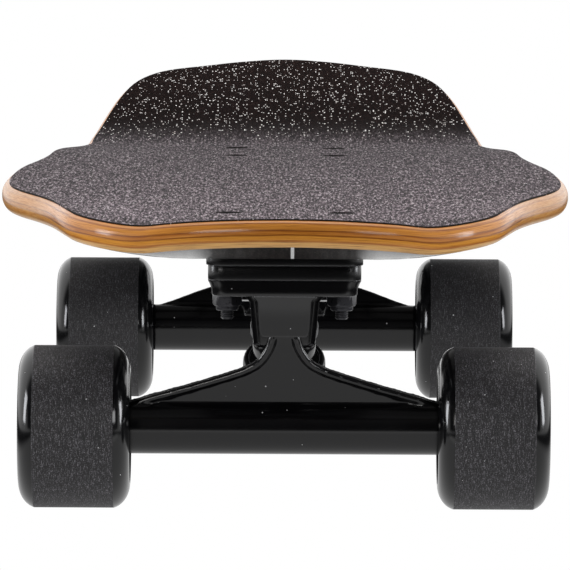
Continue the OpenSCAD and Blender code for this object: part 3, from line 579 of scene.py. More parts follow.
def urethane():
    """Glossy, but rubbed grey where the "tread" attribute is 1."""
    m = Mat("urethane")
    tread = m.attribute("tread")
    lines = m.noise(1.0, detail=3, rough=0.85, at=m.scaled(3600, 420, 420))
    specks = m.noise(2300, detail=2, rough=0.85)
    rub = m.plus(m.times(lines, 0.5), m.times(specks, 0.5))
    wear_and_edge_glint = m.ramp(rub, [(0.40, 5, 5, 6), (0.47, 22, 21, 23), (0.53, 48, 46, 50),
                        (0.61, 150, 147, 154)])
    gloss = m.mix(m.noise(40, detail=2), (0.0022, 0.0022, 0.0026, 1), (0.004, 0.004, 0.0046, 1))
    # painted shade: the rear tyres are painted darker
    rear_shade = m.remap(m.xyz()[1], (-0.1, 0.1), to=(0.62, 0.36))
    colour = m.mix(tread, gloss, m.scale_colour(wear_and_edge_glint, rear_shade, rear_shade, rear_shade))
    m.set(Base_Color=m.dust(colour, share=0.012, size=0.3),
          Roughness=m.mix_value(tread, 0.13, m.remap(specks, (0.3, 0.7), to=(0.5, 0.7))),
          Normal=m.bump(rub, strength=m.plus(m.times(tread, 0.35), 0.01), distance=0.0002))
    return m.material


def circuit_board(name):
    m = Mat(name)
    board_top = 0.0892  # chips stand above this height
    z = m.xyz()[2]
    board = m.mix(m.remap(m.noise(700, detail=4), (0.45, 0.55)),
                  (0.01, 0.09, 0.04, 1), (0.02, 0.16, 0.07, 1))
    chip = m.mix(m.noise(300, detail=2), (0.012, 0.012, 0.014, 1), (0.04, 0.04, 0.045, 1))
    # the comparison is 1 below board_top, which picks the chip colour's place in the mix
    m.set(Base_Color=m.mix(m.less(z, board_top), board, chip),
          Roughness=m.remap(m.noise(500, detail=2), (0.3, 0.7), to=(0.3, 0.5)),
          Normal=m.bump(m.noise(900, detail=2), strength=0.1, distance=0.0001,
                        normal=m.bevel(0.0002)))
    return m.material


def foil(name):
    m = Mat(name, Metallic=0.6)
    creases = m.voronoi(180)[0]
    wrinkle = m.noise(120, detail=4, rough=0.6)
    m.set(Base_Color=m.mix(wrinkle, (0.42, 0.44, 0.48, 1), (0.62, 0.64, 0.68, 1)),
          Roughness=m.remap(wrinkle, (0.3, 0.7), to=(0.25, 0.45)),
          Normal=m.bump(m.plus(wrinkle, m.times(creases, 0.3)), strength=0.25, distance=0.0006,
                        normal=m.bevel(0.0004)))
    return m.material


WOOD, UNDER, GRIT, TYRE = wood_edge(), underside(), grit(), urethane()
SLOT = {"lacquered_wood": WOOD, "grip": GRIT, "urethane": TYRE}
# riser_rubber and truck_black get a grey painted highlight along their edges
for name, make, settings in (
    ("riser_rubber", black, dict(base=(0.0026, 0.0025, 0.0030), rough=0.24, grain=1800,
                                 depth=0.08, edge=0.0004, dust=0.012, line=0.16)),
    ("truck_black", black, dict(base=(0.0022, 0.0021, 0.0026), rough=0.16, grain=2800,
                                depth=0.06, edge=0.00045, dust=0.014, line=0.26)),
    ("cup_plastic", black, dict(base=(0.02, 0.02, 0.022), rough=0.45, grain=1500, depth=0.1,
                                edge=0.0003)),
    ("bolt_steel", metal, dict(base=(0.05, 0.05, 0.055), rough=0.30, grain=900, depth=0.08,
                               edge=0.0002, metallic=0.6)),
    ("black_steel", metal, dict(base=(0.035, 0.035, 0.04), rough=0.28, grain=900, depth=0.08,
                                edge=0.0003, metallic=0.5)),
    ("bushing", black, dict(base=(0.004, 0.004, 0.0045), rough=0.16, grain=500, depth=0.05,
                            edge=0.0003, dust=0.006, coat=0.4)),
    ("case_plastic", black, dict(base=(0.018, 0.018, 0.020), rough=0.52, grain=1500, depth=0.3,
                                 edge=0.0006, dust=0.004)),
    ("foam", black, dict(base=(0.012, 0.012, 0.012), rough=0.85, grain=1200, depth=0.4,
                         edge=0.0002)),
    ("cell_foil", foil, {}),
    ("nickel", metal, dict(base=(0.66, 0.63, 0.56), rough=0.28, grain=700, depth=0.06,
                           edge=0.0001)),
    ("circuit_board", circuit_board, {}),
    ("socket_plastic", black, dict(base=(0.02, 0.02, 0.022), rough=0.35, grain=1200, depth=0.1,
                                   edge=0.0002)),
    ("dark_alloy", metal, dict(base=(0.16, 0.16, 0.17), rough=0.34, grain=1500, depth=0.06,
                               edge=0.0002)),
    ("cable_jacket", black, dict(base=(0.012, 0.012, 0.013), rough=0.42, grain=1300, depth=0.15,
                                 dust=0.004)),
    ("button_alloy", metal, dict(base=(0.70, 0.71, 0.73), rough=0.26, grain=1500, depth=0.05,
                                 edge=0.0002)),
    ("flap_rubber", black, dict(base=(0.012, 0.012, 0.012), rough=0.6, grain=1500, depth=0.25,
                                edge=0.0003, dust=0.004)),
    ("axle_steel", metal, dict(base=(0.56, 0.56, 0.58), rough=0.26, grain=1200, depth=0.06,
                               edge=0.0002, stretch=(0.1, 1, 1))),
    ("bearing_steel", metal, dict(base=(0.62, 0.62, 0.64), rough=0.18, grain=1600, depth=0.04,
                                  edge=0.00015)),
    ("ball_steel", metal, dict(base=(0.72, 0.72, 0.74), rough=0.10, grain=800, depth=0.02)),
    ("stator_steel", metal, dict(base=(0.30, 0.30, 0.33), rough=0.42, grain=2500, depth=0.15,
                                 edge=0.0001, stretch=(6, 1, 1))),
    ("copper", metal, dict(base=(0.80, 0.36, 0.18), rough=0.28, grain=1.0, depth=0.35,
                           edge=0.0004, stretch=(2600, 400, 400))),
    ("core_plastic", black, dict(base=(0.02, 0.02, 0.022), rough=0.42, grain=1400, depth=0.15,
                                 edge=0.0003, dust=0.004)),
    ("rotor_alloy", metal, dict(base=(0.10, 0.10, 0.11), rough=0.32, grain=1500, depth=0.06,
                                edge=0.0003)),
    ("magnet", metal, dict(base=(0.55, 0.55, 0.57), rough=0.22, grain=1000, depth=0.04,
                           edge=0.0002)),
):
    SLOT[name] = make(name, **settings)
# painted highlight: light grey paint for the shoulder's chamfer faces, in place of the light they
# catch
CHAMFER_GLINT = black("chamfer_glint_paint", base=(0.26, 0.26, 0.265), rough=0.45, grain=2200, depth=0.1,
               edge=0.0002)
HEAD_BLACK = black("head_black", base=(0.005, 0.0045, 0.0045), rough=0.75, grain=1500, depth=0.1,
                   edge=0.0002, spec=0.05)
TRUCK_PAINT = (SLOT["truck_black"],)

# every loaded piece gets the material of its slot
for row in loaded["record"]["subparts"]:
    mesh = loaded["nodes"][row["node"]].data
    material = SLOT[row["material_slot"]]
    mesh.materials.clear()
    mesh.materials.append(material)
    for polygon in mesh.polygons:
        polygon.material_index = 0


def finish(obj, body, node):
    """Let a built piece stand in for a loaded one and move with its body."""
    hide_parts(node)
    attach(obj, body)


# ---------------------------------------------------------------- deck shape
# (y, half width) along the rail between the nose and tail corners
RAIL = [
    [-274, 77], [-258, 80.4], [-242, 82.6], [-226, 84.6], [-208, 87.6], [-188, 92.6],
    [-170, 98.6], [-150, 103.6], [-120, 106.5], [-70, 106.6], [-14, 105], [45, 101.5],
    [95, 99.3], [150, 98.2], [195, 96.8], [222, 93.6], [245, 88.8], [262, 86.2],
    [280, 85.9], [297, 83.4], [320, 78.8], [336, 75.2], [348, 71.6], [355, 68.8], [361, 65]]
# (x, y) of the rounded ends; the first point mirrors the third for the slope at the centre
NOSE = [[-22, -315.8], [0, -318], [22, -315.8], [42, -309], [58, -298.6], [69, -288], [77, -274]]
TAIL = [[-20, 381.4], [0, 384.5], [20, 381.4], [38, 375.8], [50, 372], [58, 367.8], [65, 361]]
# (y, half width) over which the dish rises
DISH_WIDTH = [
    [-330, 77], [-265, 79.5], [-225, 84.7], [-190, 92], [-160, 101], [-130, 105.5], [-70, 106],
    [0, 104], [90, 99], [150, 98], [195, 96.5], [262, 85], [300, 81.5], [390, 76]]
# (y, height of the dish at that half width)
DISH_HEIGHT = [
    [-330, 6.4], [-285, 6.6], [-258, 7.0], [-225, 6.8], [-190, 7.0], [-150, 7.6], [-100, 8.0],
    [0, 6.8], [100, 4.6], [150, 3.6], [200, 1.6], [235, 0.2], [262, 0], [310, 0], [390, 0]]
NOSE_Y, NOSE_HALF = RAIL[0]
TAIL_Y, TAIL_HALF = RAIL[-1]
ROWS, COLS = 150, 54    # cells along and across the deck


def curve(table, x):
    """Smooth interpolation in a two-column table."""
    n = len(table)
    i = 0
    while i < n - 2 and x >= table[i + 1][0]:
        i += 1

    def slope(k):
        a, b = max(0, k - 1), min(n - 1, k + 1)
        return (table[b][1] - table[a][1]) / (table[b][0] - table[a][0])

    h = table[i + 1][0] - table[i][0]
    s = min(1, max(0, (x - table[i][0]) / h))
    s2, s3 = s * s, s ** 3
    return ((2 * s3 - 3 * s2 + 1) * table[i][1] + (s3 - 2 * s2 + s) * h * slope(i)
            + (3 * s2 - 2 * s3) * table[i + 1][1] + (s3 - s2) * h * slope(i + 1))


def kick(distance, radius, degrees):
    """Height of a bend of that radius which runs on as a straight slope."""
    a = math.radians(degrees)
    if distance <= 0:
        return 0.0
    if distance < radius * math.sin(a):
        return radius - math.sqrt(radius * radius - distance * distance)
    return radius * (1 - math.cos(a)) + (distance - radius * math.sin(a)) * math.tan(a)


def rise(x, y):
    """Height of the deck's underside above DECK_Z: both kicks and the dish."""
    nose = min(1.0, max(0.0, (-262 - y) / 40))
    flat = 0.32 + 0.28 * nose   # share of the width that isn't dished
    u = max(0.0, (abs(x) / curve(DISH_WIDTH, y) - flat) / (1 - flat))
    return (kick(-268 - y, 150, 14) + kick(y - 262, 140, 17.6)
            + curve(DISH_HEIGHT, y) * u ** (1.5 + 0.3 * nose))


def deck_outline():
    """The rim from the -X nose corner across the nose, and on round by the +X rail."""
    rows = [NOSE_Y + (TAIL_Y - NOSE_Y) * i / ROWS for i in range(ROWS + 1)]
    nose = [NOSE_HALF * (2 * j / COLS - 1) for j in range(COLS + 1)]
    tail = [TAIL_HALF * (1 - 2 * j / COLS) for j in range(COLS + 1)]
    outline = np.array([(x, curve(NOSE, abs(x))) for x in nose]
                       + [(curve(RAIL, y), y) for y in rows[1:ROWS]]
                       + [(x, curve(TAIL, abs(x))) for x in tail]
                       + [(-curve(RAIL, y), y) for y in rows[ROWS - 1:0:-1]], float)
    for _ in range(2):
        outline = outline * 0.5 + 0.25 * (np.roll(outline, 1, 0) + np.roll(outline, -1, 0))
    return outline


RIM = deck_outline()
RIM_COUNT = len(RIM)
rim_step = np.roll(RIM, -1, 0) - np.roll(RIM, 1, 0)
RIM_INWARD = (np.stack([-rim_step[:, 1], rim_step[:, 0]], 1)
              / np.linalg.norm(rim_step, axis=1)[:, None])
RIM_RUN = np.concatenate([[0], np.cumsum(np.linalg.norm(np.diff(RIM, axis=0), axis=1))])


def rim_point(k, inset):
    return RIM[k % RIM_COUNT] + RIM_INWARD[k % RIM_COUNT] * inset


def on_rim(i, j):
    return i in (0, ROWS) or j in (0, COLS)


def rim_index(i, j):
    if i == 0:
        return j
    if i == ROWS:
        return COLS + ROWS + (COLS - j)
    if j == COLS:
        return COLS + i
    return (2 * COLS + 2 * ROWS - i) % RIM_COUNT


def grid_point(i, j, inset):
    """Rows run straight in the middle and bend to the shape of the nose and tail."""
    if on_rim(i, j):
        return rim_point(rim_index(i, j), inset)
    left, right = rim_point(rim_index(i, 0), inset), rim_point(rim_index(i, COLS), inset)
    reach = 0.18 * ROWS
    near_nose = max(0, 1 - i / reach) ** 1.5
    near_tail = max(0, 1 - (ROWS - i) / reach) ** 1.5
    nose_bend = rim_point(j, inset)[1] - rim_point(0, inset)[1]
    tail_bend = (rim_point(rim_index(ROWS, j), inset)[1]
                 - rim_point(rim_index(ROWS, 0), inset)[1])
    return np.array([left[0] + (right[0] - left[0]) * j / COLS if False else
                     left[0] + (right[0] - left[0]) * (j / COLS),
                     left[1] + nose_bend * near_nose + tail_bend * near_tail])


def deck_sheet(name, profile, materials):
    """A sheet that follows the deck. The profile is (inset, height) from its top edge round
    to its bottom edge, and the last material goes on the underside."""
    grid_count = (ROWS + 1) * (COLS + 1)
    last = len(profile) - 1
    points, ply, run = [], [], []

    def add_point(place, height, along):
        points.append((place[0], place[1], DECK_Z + rise(place[0], place[1]) + height))
        ply.append(height / DECK_T)
        run.append(along)

    for inset, height in (profile[0], profile[-1]):
        for i in range(ROWS + 1):
            for j in range(COLS + 1):
                along = RIM_RUN[rim_index(i, j)] * 0.001 if on_rim(i, j) else 0
                add_point(grid_point(i, j, inset), height, along)
    for inset, height in profile[1:-1]:
        for k in range(RIM_COUNT):
            add_point(rim_point(k, inset), height, RIM_RUN[k] * 0.001)
    grid_of_rim = {rim_index(i, j): i * (COLS + 1) + j
                   for i in range(ROWS + 1) for j in range(COLS + 1) if on_rim(i, j)}

    def ring_vertex(p, k):
        k %= RIM_COUNT
        if p == 0:
            return grid_of_rim[k]
        if p == last:
            return grid_count + grid_of_rim[k]
        return 2 * grid_count + (p - 1) * RIM_COUNT + k

    faces, slots = [], []
    for i in range(ROWS):
        for j in range(COLS):
            a = i * (COLS + 1) + j
            faces.append([a, a + 1, a + COLS + 2, a + COLS + 1])
            b = grid_count + a
            faces.append([b, b + COLS + 1, b + COLS + 2, b + 1])
            slots += [0, len(materials) - 1]
    for p in range(last):
        for k in range(RIM_COUNT):
            faces.append([ring_vertex(p, k), ring_vertex(p + 1, k),
                          ring_vertex(p + 1, k + 1), ring_vertex(p, k + 1)])
            slots.append(0)
    mesh = bpy.data.meshes.new(name)
    mesh.from_pydata(to_frame(points).tolist(), [], faces)
    for material in materials:
        mesh.materials.append(material)
    mesh.polygons.foreach_set("material_index", slots)
    for key, values in (("ply", ply), ("run", run)):
        attribute = mesh.attributes.new(key, "FLOAT", "POINT")
        attribute.data.foreach_set("value", np.array(values, np.float32))
    tidy(mesh)
    return link(name, mesh)


# ---------------------------------------------------------------- deck
def drill(sheet, profile, materials=(), slot=0):
    cutter = Shell()
    for frame, _ in SCREWS:
        cutter.add(lathe(profile, 32), frame, slot)
    carve(sheet, cutter.build("cut", materials))


quarter = [math.radians(a) for a in range(0, 91, 10)]
deck_profile = ([(4.2 * (1 - math.sin(a)), DECK_T - 4.9 * (1 - math.cos(a))) for a in quarter]
                + [(3.0 * (1 - math.cos(a)), 4.2 * (1 - math.sin(a))) for a in quarter])
deck = deck_sheet("deck_body", deck_profile, (WOOD, UNDER))
# countersunk screw holes
drill(deck, [(0, SEAT_Z - 3), (2.6, SEAT_Z - 3), (2.6, SEAT_Z + 8.1), (4.9, SEAT_Z + 10.4),
             (4.9, SEAT_Z + 16), (0, SEAT_Z + 16)], (WOOD, UNDER), 1)
shade(deck, 60)
finish(deck, "board", "deck")

GRIP_INSET = 2.7
grip = deck_sheet("grip_layer", [
    (GRIP_INSET + 1.2, DECK_T + 0.36), (GRIP_INSET + 0.45, DECK_T + 0.32),
    (GRIP_INSET + 0.1, DECK_T + 0.18), (GRIP_INSET, DECK_T), (GRIP_INSET, DECK_T - 0.6),
    (GRIP_INSET + 1.6, DECK_T - 0.12)], (GRIT,))
drill(grip, [(0, SEAT_Z + 5), (5.0, SEAT_Z + 5), (5.0, SEAT_Z + 16), (0, SEAT_Z + 16)])
shade(grip, 50)
finish(grip, "board", "grip_sheet")

# ---------------------------------------------------------------- risers
shell = Shell()
for truck in (FRONT, REAR):
    shell.add(slab(55.0, 87.4, 5.6, 56.21, 61.45, 0.3, PLATE_Y), truck)
    shell.add(slab(56.3, 88, 6, 61.48, SEAT_Z - FIT_GAP, 0.3, PLATE_Y), truck)
finish(shell.build("riser_stack", (SLOT["riser_rubber"],), 40),
       "board", "riser_pads")

# ---------------------------------------------------------------- baseplates
# flange, flared at the top to meet the riser: (z, width, length, corner radius)
FLANGE = (
    (PLATE_LOW, 50.8, 83, 5), (50.5, 51.8, 83.8, 5.4), (51.0, 52.2, 84.2, 5.6),
    (52.6, 52.3, 84.4, 5.6), (54.6, 53.9, 84.5, 5.8), (55.7, 55.0, 84.7, 5.8),
    (56.19, 55.0, 84.7, 5.6))
ROOT_Z = 51.6   # top of the housing and shoulder, inside the flange
# (x, z) sections across the truck, the +X half from the bottom up
HOUSING_HALF = [(7.6, 35.3), (8.7, 36.2), (9.2, 37.4), (10.05, 48.2), (12.0, 50.4), (17.0, ROOT_Z)]
SHOULDER_HALF = [(9.6, 29.6), (11.1, 30.6), (12.6, 46.2), (16.4, 50.2), (17.2, ROOT_Z)]
# (y, z) of a rib
RIB = [(9, 51), (12, 45.5), (18, 44.5), (26, 46), (40, 51)]


def mirrored(half):
    return [(-x, z) for x, z in half[::-1]] + half


def pivot_housing(truck):
    """A tapered block with rounded lower corners and a bore for the pivot cup."""
    outer, inner = [], []
    for x, z in mirrored(HOUSING_HALF):
        depth = (ROOT_Z - z) / 16.3
        outer.append((x, -33.6 + 4.0 * depth, z))
        inner.append((x, -10.4 - 10.0 * depth, z))
    end = [(x * 0.93, y, ROOT_Z - (ROOT_Z - z) * 0.965) for x, y, z in outer]
    edge = [(x, y + 0.7, z) for x, y, z in outer]
    block = Shell().add(loft([end, edge, inner]), truck).build("block", TRUCK_PAINT)
    bore = lathe([(0, -6.1), (7.05, -6.1), (7.05, 30), (0, 30)], 48)
    carve(block, Shell().add(bore, pivot_frame(truck)).build("cut"))
    return block


def kingpin_shoulder(truck):
    """A wider block inboard of the housing, with a chamfered outboard end."""
    # (y, share of the width, share of the depth)
    rings = [[(x * wide, y, ROOT_Z - (ROOT_Z - z) * deep) for x, z in mirrored(SHOULDER_HALF)]
             for y, wide, deep in ((-7.3, 0.85, 0.955), (-5.6, 1.0, 1.0), (4.0, 1.0, 1.0))]
    shoulder = Shell().add(loft(rings), truck).build("shoulder", TRUCK_PAINT + (CHAMFER_GLINT,))
    to_truck = np.array(truck)[:3, :3].T
    # painted highlight: the chamfer faces toward the nose take the light grey paint
    for face in shoulder.data.polygons:
        normal = to_truck @ np.array(face.normal)
        if normal[1] < -0.3 and abs(normal[0]) > 0.25:
            face.material_index = 1
    return shoulder


def baseplate(name, truck):
    flange = Shell().add(loft([[(x, y, z) for x, y in rounded_rect(wide, long, r, PLATE_Y)]
                               for z, wide, long, r in FLANGE]), truck)
    parts = [flange.build("flange", TRUCK_PAINT), pivot_housing(truck)]
    shoulder = kingpin_shoulder(truck)
    kingpin = kingpin_frame(truck)
    # conical boss over the upper bushing, trimmed to the plate
    boss = Shell().add(lathe([(0, -44), (12.8, -44), (11.1, -22), (10.7, -19.6), (0, -19.6)], 56),
                       kingpin).build("boss", TRUCK_PAINT)
    box = prism([(-20, -5.4), (20, -5.4), (20, 37), (-20, 37)], 20, 56.1)
    carve(boss, Shell().add(box, truck).build("cut"), "INTERSECT")
    # nothing of the shoulder may reach below the boss's seat
    below = prism([(-30, -40), (30, -40), (30, 60), (-30, 60)], -19.6, 20)
    carve(shoulder, Shell().add(below, kingpin).build("cut"))
    bore = [(0, -60), (8.4, -60), (8.4, -31), (4.95, -31), (4.95, 5), (0, 5)]
    for part in (shoulder, boss):
        carve(part, Shell().add(lathe(bore, 48), kingpin).build("cut"))
        parts.append(part)
    ribs = Shell()
    for side in (-1, 1):
        ribs.add(*upright(truck, side * 14.2, 2.6, RIB))
    parts.append(ribs.build("ribs", TRUCK_PAINT))
    plate = merge(parts, name)
    bevel = plate.modifiers.new("bevel", "BEVEL")
    bevel.width, bevel.segments = 0.00035, 2
    bevel.limit_method, bevel.angle_limit = "ANGLE", math.radians(32)
    bevel.harden_normals = False
    apply_modifiers(plate)
    shade(plate, 40)
    return plate


for end, truck in TRUCKS.items():
    finish(baseplate(end + "_base_casting", truck), "board", end + "_baseplate")

# ---------------------------------------------------------------- hangers
# (y, z) of the neck between the ring and the pivot
NECK = [(-14.4, 36.6), (-10.5, 44.6), (-6.9, 39.7), (-4.2, 35.5), (-0.5, 29.6), (2.2, 25.3),
        (7.5, 16.8), (6, 6), (-2, 6), (-6.0, 18), (-9.3, 29.5), (-11.6, 34)]
# (r, z) of the pivot's rounded tip
PIVOT = [(0, -4.5), (1.42, -4.31), (2.75, -3.76), (3.89, -2.89), (4.76, -1.75), (5.31, -0.42),
         (5.5, 1), (5.5, 12), (0, 12)]


def hanger(name, truck, half):
    """One casting, fused by a remesh; half is half the length of its axle barrel."""
    shell = Shell()
    r = 9.75
    shell.add(lathe([(0, -half), (r - 1.0, -half), (r - 0.3, -half + 0.3), (r, -half + 1.0),
                     (r, half - 1.0), (r - 0.3, half - 0.3), (r - 1.0, half), (0, half)], 96),
              truck @ turn("Y", 90))
    # web that narrows from the neck toward the wheels; (x, height) of its upper edge
    web = truck @ turn("X", 106)
    reach = min(57.5, half - 2)
    stops = [(5.0, 37.0), (5.9, 33.6), (7.4, 30.4), (9.6, 27.3), (12.6, 25.0), (17.5, 22.7),
             (26, 19.8), (36, 16.6), (reach - 8, 12.6), (reach - 1.5, 10.4), (reach + 2.5, 9.6)]
    edge = spline(stops, 6)
    inner = [(x - 0.6, y - 0.9) for x, y in edge]
    outline = ([(reach + 1, 2.0)] + inner[::-1] + [(-x, y) for x, y in inner]
               + [(-reach - 1, 2.0)])
    shell.add(prism(outline, -3.3, 1.1), web)
    # raised rim that runs from the neck out to the wheels
    for side in (-1, 1):
        path = [(side * (x - 0.95), y - 1.15, 1.5) for x, y in edge]
        shell.add(sweep(path, lambda share: 1.55 - 0.35 * share, 18, up=(0, 0, 1)), web)
    # ring round the kingpin, and the web that joins it to the barrel
    kingpin = kingpin_frame(truck)
    shell.add(lathe([(0, -4.5), (14.2, -4.5), (14.9, -3.9), (15.1, -3), (15.1, 3), (14.9, 3.9),
                     (14.2, 4.5), (0, 4.5)], 72), kingpin)
    shell.add(prism([(-12, 7), (12, 7), (17, 20), (24, 30), (-24, 30), (-17, 20)], -4.2, 4.2),
              kingpin)
    shell.add(*upright(truck, 0, 10.4, NECK))
    shell.add(lathe(PIVOT, 48), pivot_frame(truck))
    casting = shell.build(name, TRUCK_PAINT, None)
    remesh = casting.modifiers.new("remesh", "REMESH")
    remesh.mode, remesh.voxel_size = "VOXEL", 0.00062
    smooth = casting.modifiers.new("smooth", "SMOOTH")
    smooth.factor, smooth.iterations = 0.5, 5
    apply_modifiers(casting)
    # the remesh may drop the material
    if not casting.data.materials:
        casting.data.materials.append(TRUCK_PAINT[0])
    # bushing seats on both faces of the ring, and the kingpin hole between them
    seats = lathe([(0, -22), (12.9, -22), (12.9, -3), (7.2, -3), (7.2, 3), (12.9, 3), (12.9, 22),
                   (0, 22)], 56)
    carve(casting, Shell().add(seats, kingpin).build("cut", (), None))
    shade(casting, 50)
    return casting


for end, half in (("front", 63.5), ("rear", 56.5)):
    finish(hanger(end + "_hanger_casting", TRUCKS[end], half),
           end + "_truck", end + "_hanger")


# ---------------------------------------------------------------- screws and nuts
def hex_ring(z, across, limit, n=72):
    """A hexagon of that width across flats, its corners cut to the limit radius."""
    ring = []
    for k in range(n):
        a = 2 * math.pi * k / n
        off_flat = (a + math.pi / 6) % (math.pi / 3) - math.pi / 6
        radius = min(across / 2 / math.cos(off_flat), limit)
        ring.append((radius * math.cos(a), radius * math.sin(a), z))
    return ring


def hex_nut(z0, z1, across, hole, collar=None):
    """A chamfered, bored hexagon from z0 to z1; a collar is (radius, z of its end) before z0."""
    n = 72
    flat, corner = across / 2, across / math.sqrt(3)
    if collar:
        radius, end = collar
        rings = [circle(hole, end, n)]
        for r, z in ((radius - 0.5, end), (radius - 0.12, end + 0.25), (radius, end + 0.7),
                     (radius, z0 - 0.05)):
            rings.append(circle(r, z, n))
    else:
        rings = [circle(hole, z0, n)]
    for z, limit in ((z0, flat * 0.97), (z0 + 0.35, flat * 1.06), (z0 + 0.8, corner),
                     (z1 - 0.8, corner), (z1 - 0.35, flat * 1.06), (z1, flat * 0.97)):
        rings.append(hex_ring(z, across, limit))
    rings.append(circle(hole, z1, n))
    rings.append(rings[0])
    return loft(rings, caps=False)


def thread(r, z0, z1):
    """(r, z) profile of a threaded end, from its tip at z0 up to z1."""
    pitch, tip, depth = 0.8, 0.5, 0.42
    profile = [(0, z0), (r - 0.7, z0), (r - 0.25, z0 + tip)]
    z = z0 + tip
    while z + pitch < z1:
        profile += [(r, z + pitch * 0.25), (r, z + pitch * 0.35),
                    (r - depth, z + pitch * 0.8), (r - depth, z + pitch * 0.9)]
        z += pitch
    return profile + [(r, z1)]


def deck_screws():
    shell = Shell()
    r = 2.4
    head = SEAT_Z + 10.0
    for frame, _ in SCREWS:
        shank = thread(r, PLATE_LOW - 9.6, PLATE_LOW - 0.5) + [(r, head - 2.5)]
        shell.add(lathe(shank, 36), frame)
        shell.add(lathe([(r, head - 2.5), (4.45, head - 0.55), (4.6, head - 0.4),
                         (4.5, head - 0.2), (2.3, head - 0.2), (2.0, head - 0.35)], 36), frame, 1)
        # hexagonal socket; the limit radius lies beyond its corners
        socket = [hex_ring(head - z, across, 9, 36)
                  for z, across in ((0.34, 3.9), (0.34, 3.6), (1.7, 3.4))]
        shell.add(loft(socket), frame, 1)
    return shell.build("deck_screws", (SLOT["bolt_steel"], HEAD_BLACK), 28)


def deck_nuts():
    shell = Shell()
    for frame, side in SCREWS:
        nut = hex_nut(PLATE_LOW - 4.75, PLATE_LOW - 0.02, 9.5, 2.42, (4.1, PLATE_LOW - 6.4))
        shell.add(nut, frame @ turn("Z", -17 * side))
    return shell.build("deck_lock_nuts", (SLOT["black_steel"],), 25)


def kingpin_nuts():
    shell = Shell()
    for truck in (FRONT, REAR):
        kingpin = kingpin_frame(truck)
        shell.add(hex_nut(16.05, 21.6, 14.3, 4.82), kingpin)
        shell.add(closed_lathe([(4.82, 21.4), (6.9, 21.4), (6.9, 22.6), (6.5, 23.4),
                                (4.82, 23.4)], 48), kingpin)
    nuts = shell.build("kingpin_lock_nuts", (SLOT["black_steel"],), 25)
    tidy(nuts.data, weld=True)
    shade(nuts, 25)
    return nuts


def kingpins():
    shell = Shell()
    for truck in (FRONT, REAR):
        kingpin = kingpin_frame(truck)
        # head: (z, limit radius)
        shell.add(loft([hex_ring(z, 13.8, limit) for z, limit in
                        ((-36, 7.6), (-35.5, 8.2), (-31.1, 8.2), (-30.9, 7.4))]), kingpin)
        ridges = [(4.76 - 0.4 * (k % 2), 25.0 - 0.6 * k) for k in range(17)]
        shell.add(lathe([(0, 25.8), (4.0, 25.8), (4.5, 25.3)] + ridges
                        + [(4.76, 14.6), (4.76, -31), (0, -31)], 48), kingpin)
    return shell.build("kingpin_bolts", (SLOT["dark_alloy"],), 28)


finish(deck_screws(), "board", "deck_bolts")
finish(deck_nuts(), "board", "deck_nuts")
finish(kingpin_nuts(), "board", "kingpin_nuts")
finish(kingpins(), "board", "kingpins")

# ---------------------------------------------------------------- bushings
# (name, z at the board's end, z at the hanger's end, (r, z) profile), along the kingpin
BUSHINGS = (
    ("upper", -17, -3.5, [
        (5, -17.9), (10.3, -17.9), (10.9, -17.2), (11.1, -15.5), (11.15, -13.6), (11.5, -12.2),
        (11.55, -10.2), (11.5, -8.2), (11.15, -6.8), (11.1, -4.2), (10.7, -3.2), (10.3, -3.05),
        (5, -3.05)]),
    ("lower", 14, 3.5, [
        (5, 3.05), (10.8, 3.05), (11.25, 3.6), (11.25, 5.0), (10.9, 6.6), (9.5, 10.6),
        (8.6, 13.4), (8.2, 14.2), (7.8, 14.45), (5, 14.45)]),
)


def divided(profile, parts=3):
    """The profile with each side cut into equal parts."""
    out = []
    for (r, z), (r2, z2) in zip(profile, profile[1:]):
        out.append((r, z))
        for k in range(1, parts):
            out.append((r + (r2 - r) * k / parts, z + (z2 - z) * k / parts))
    return out + [profile[-1]]


for end, truck in TRUCKS.items():
    kingpin = kingpin_frame(truck)
    for place, board_z, hanger_z, profile in BUSHINGS:
        bushing = Shell().add(closed_lathe(divided(profile), 72), kingpin).build(
            "%s_%s_bushing_soft" % (end, place), (SLOT["bushing"],), None)
        tidy(bushing.data, weld=True)
        shade(bushing, 45)
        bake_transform(bushing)
        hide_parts("%s_%s_bushing" % (end, place))

# ---------------------------------------------------------------- motor cables
# (x, y, z) of the +X cable, from under the deck down to the rear truck
CABLE_PATH = [
    (45, 143, 85.9), (45, 150, 85.9), (43, 160, 86.1), (38, 174, 87), (36, 200, 87.6),
    (36, 236, 87.2), (34, 256, 84), (27, 264, 76), (20, 262, 64), (16, 250, 52),
    (18, 239.5, 41), (26, 233.5, 33.5), (35, 231, 30), (41.6, 229.4, 29.5),
    (44, 226, 29.5), (44, 223.6, 29.5)]
CABLE_R = 1.9
shell = Shell()
for side in (-1, 1):
    path = spline([(side * x, y, z) for x, y, z in CABLE_PATH], 8)
    shell.add(sweep(path, lambda share: CABLE_R, 20, up=(0.3, 0.25, 1)))
cables = shell.build("motor_leads", (SLOT["cable_jacket"],), 50)
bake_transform(cables)
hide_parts("motor_cables")


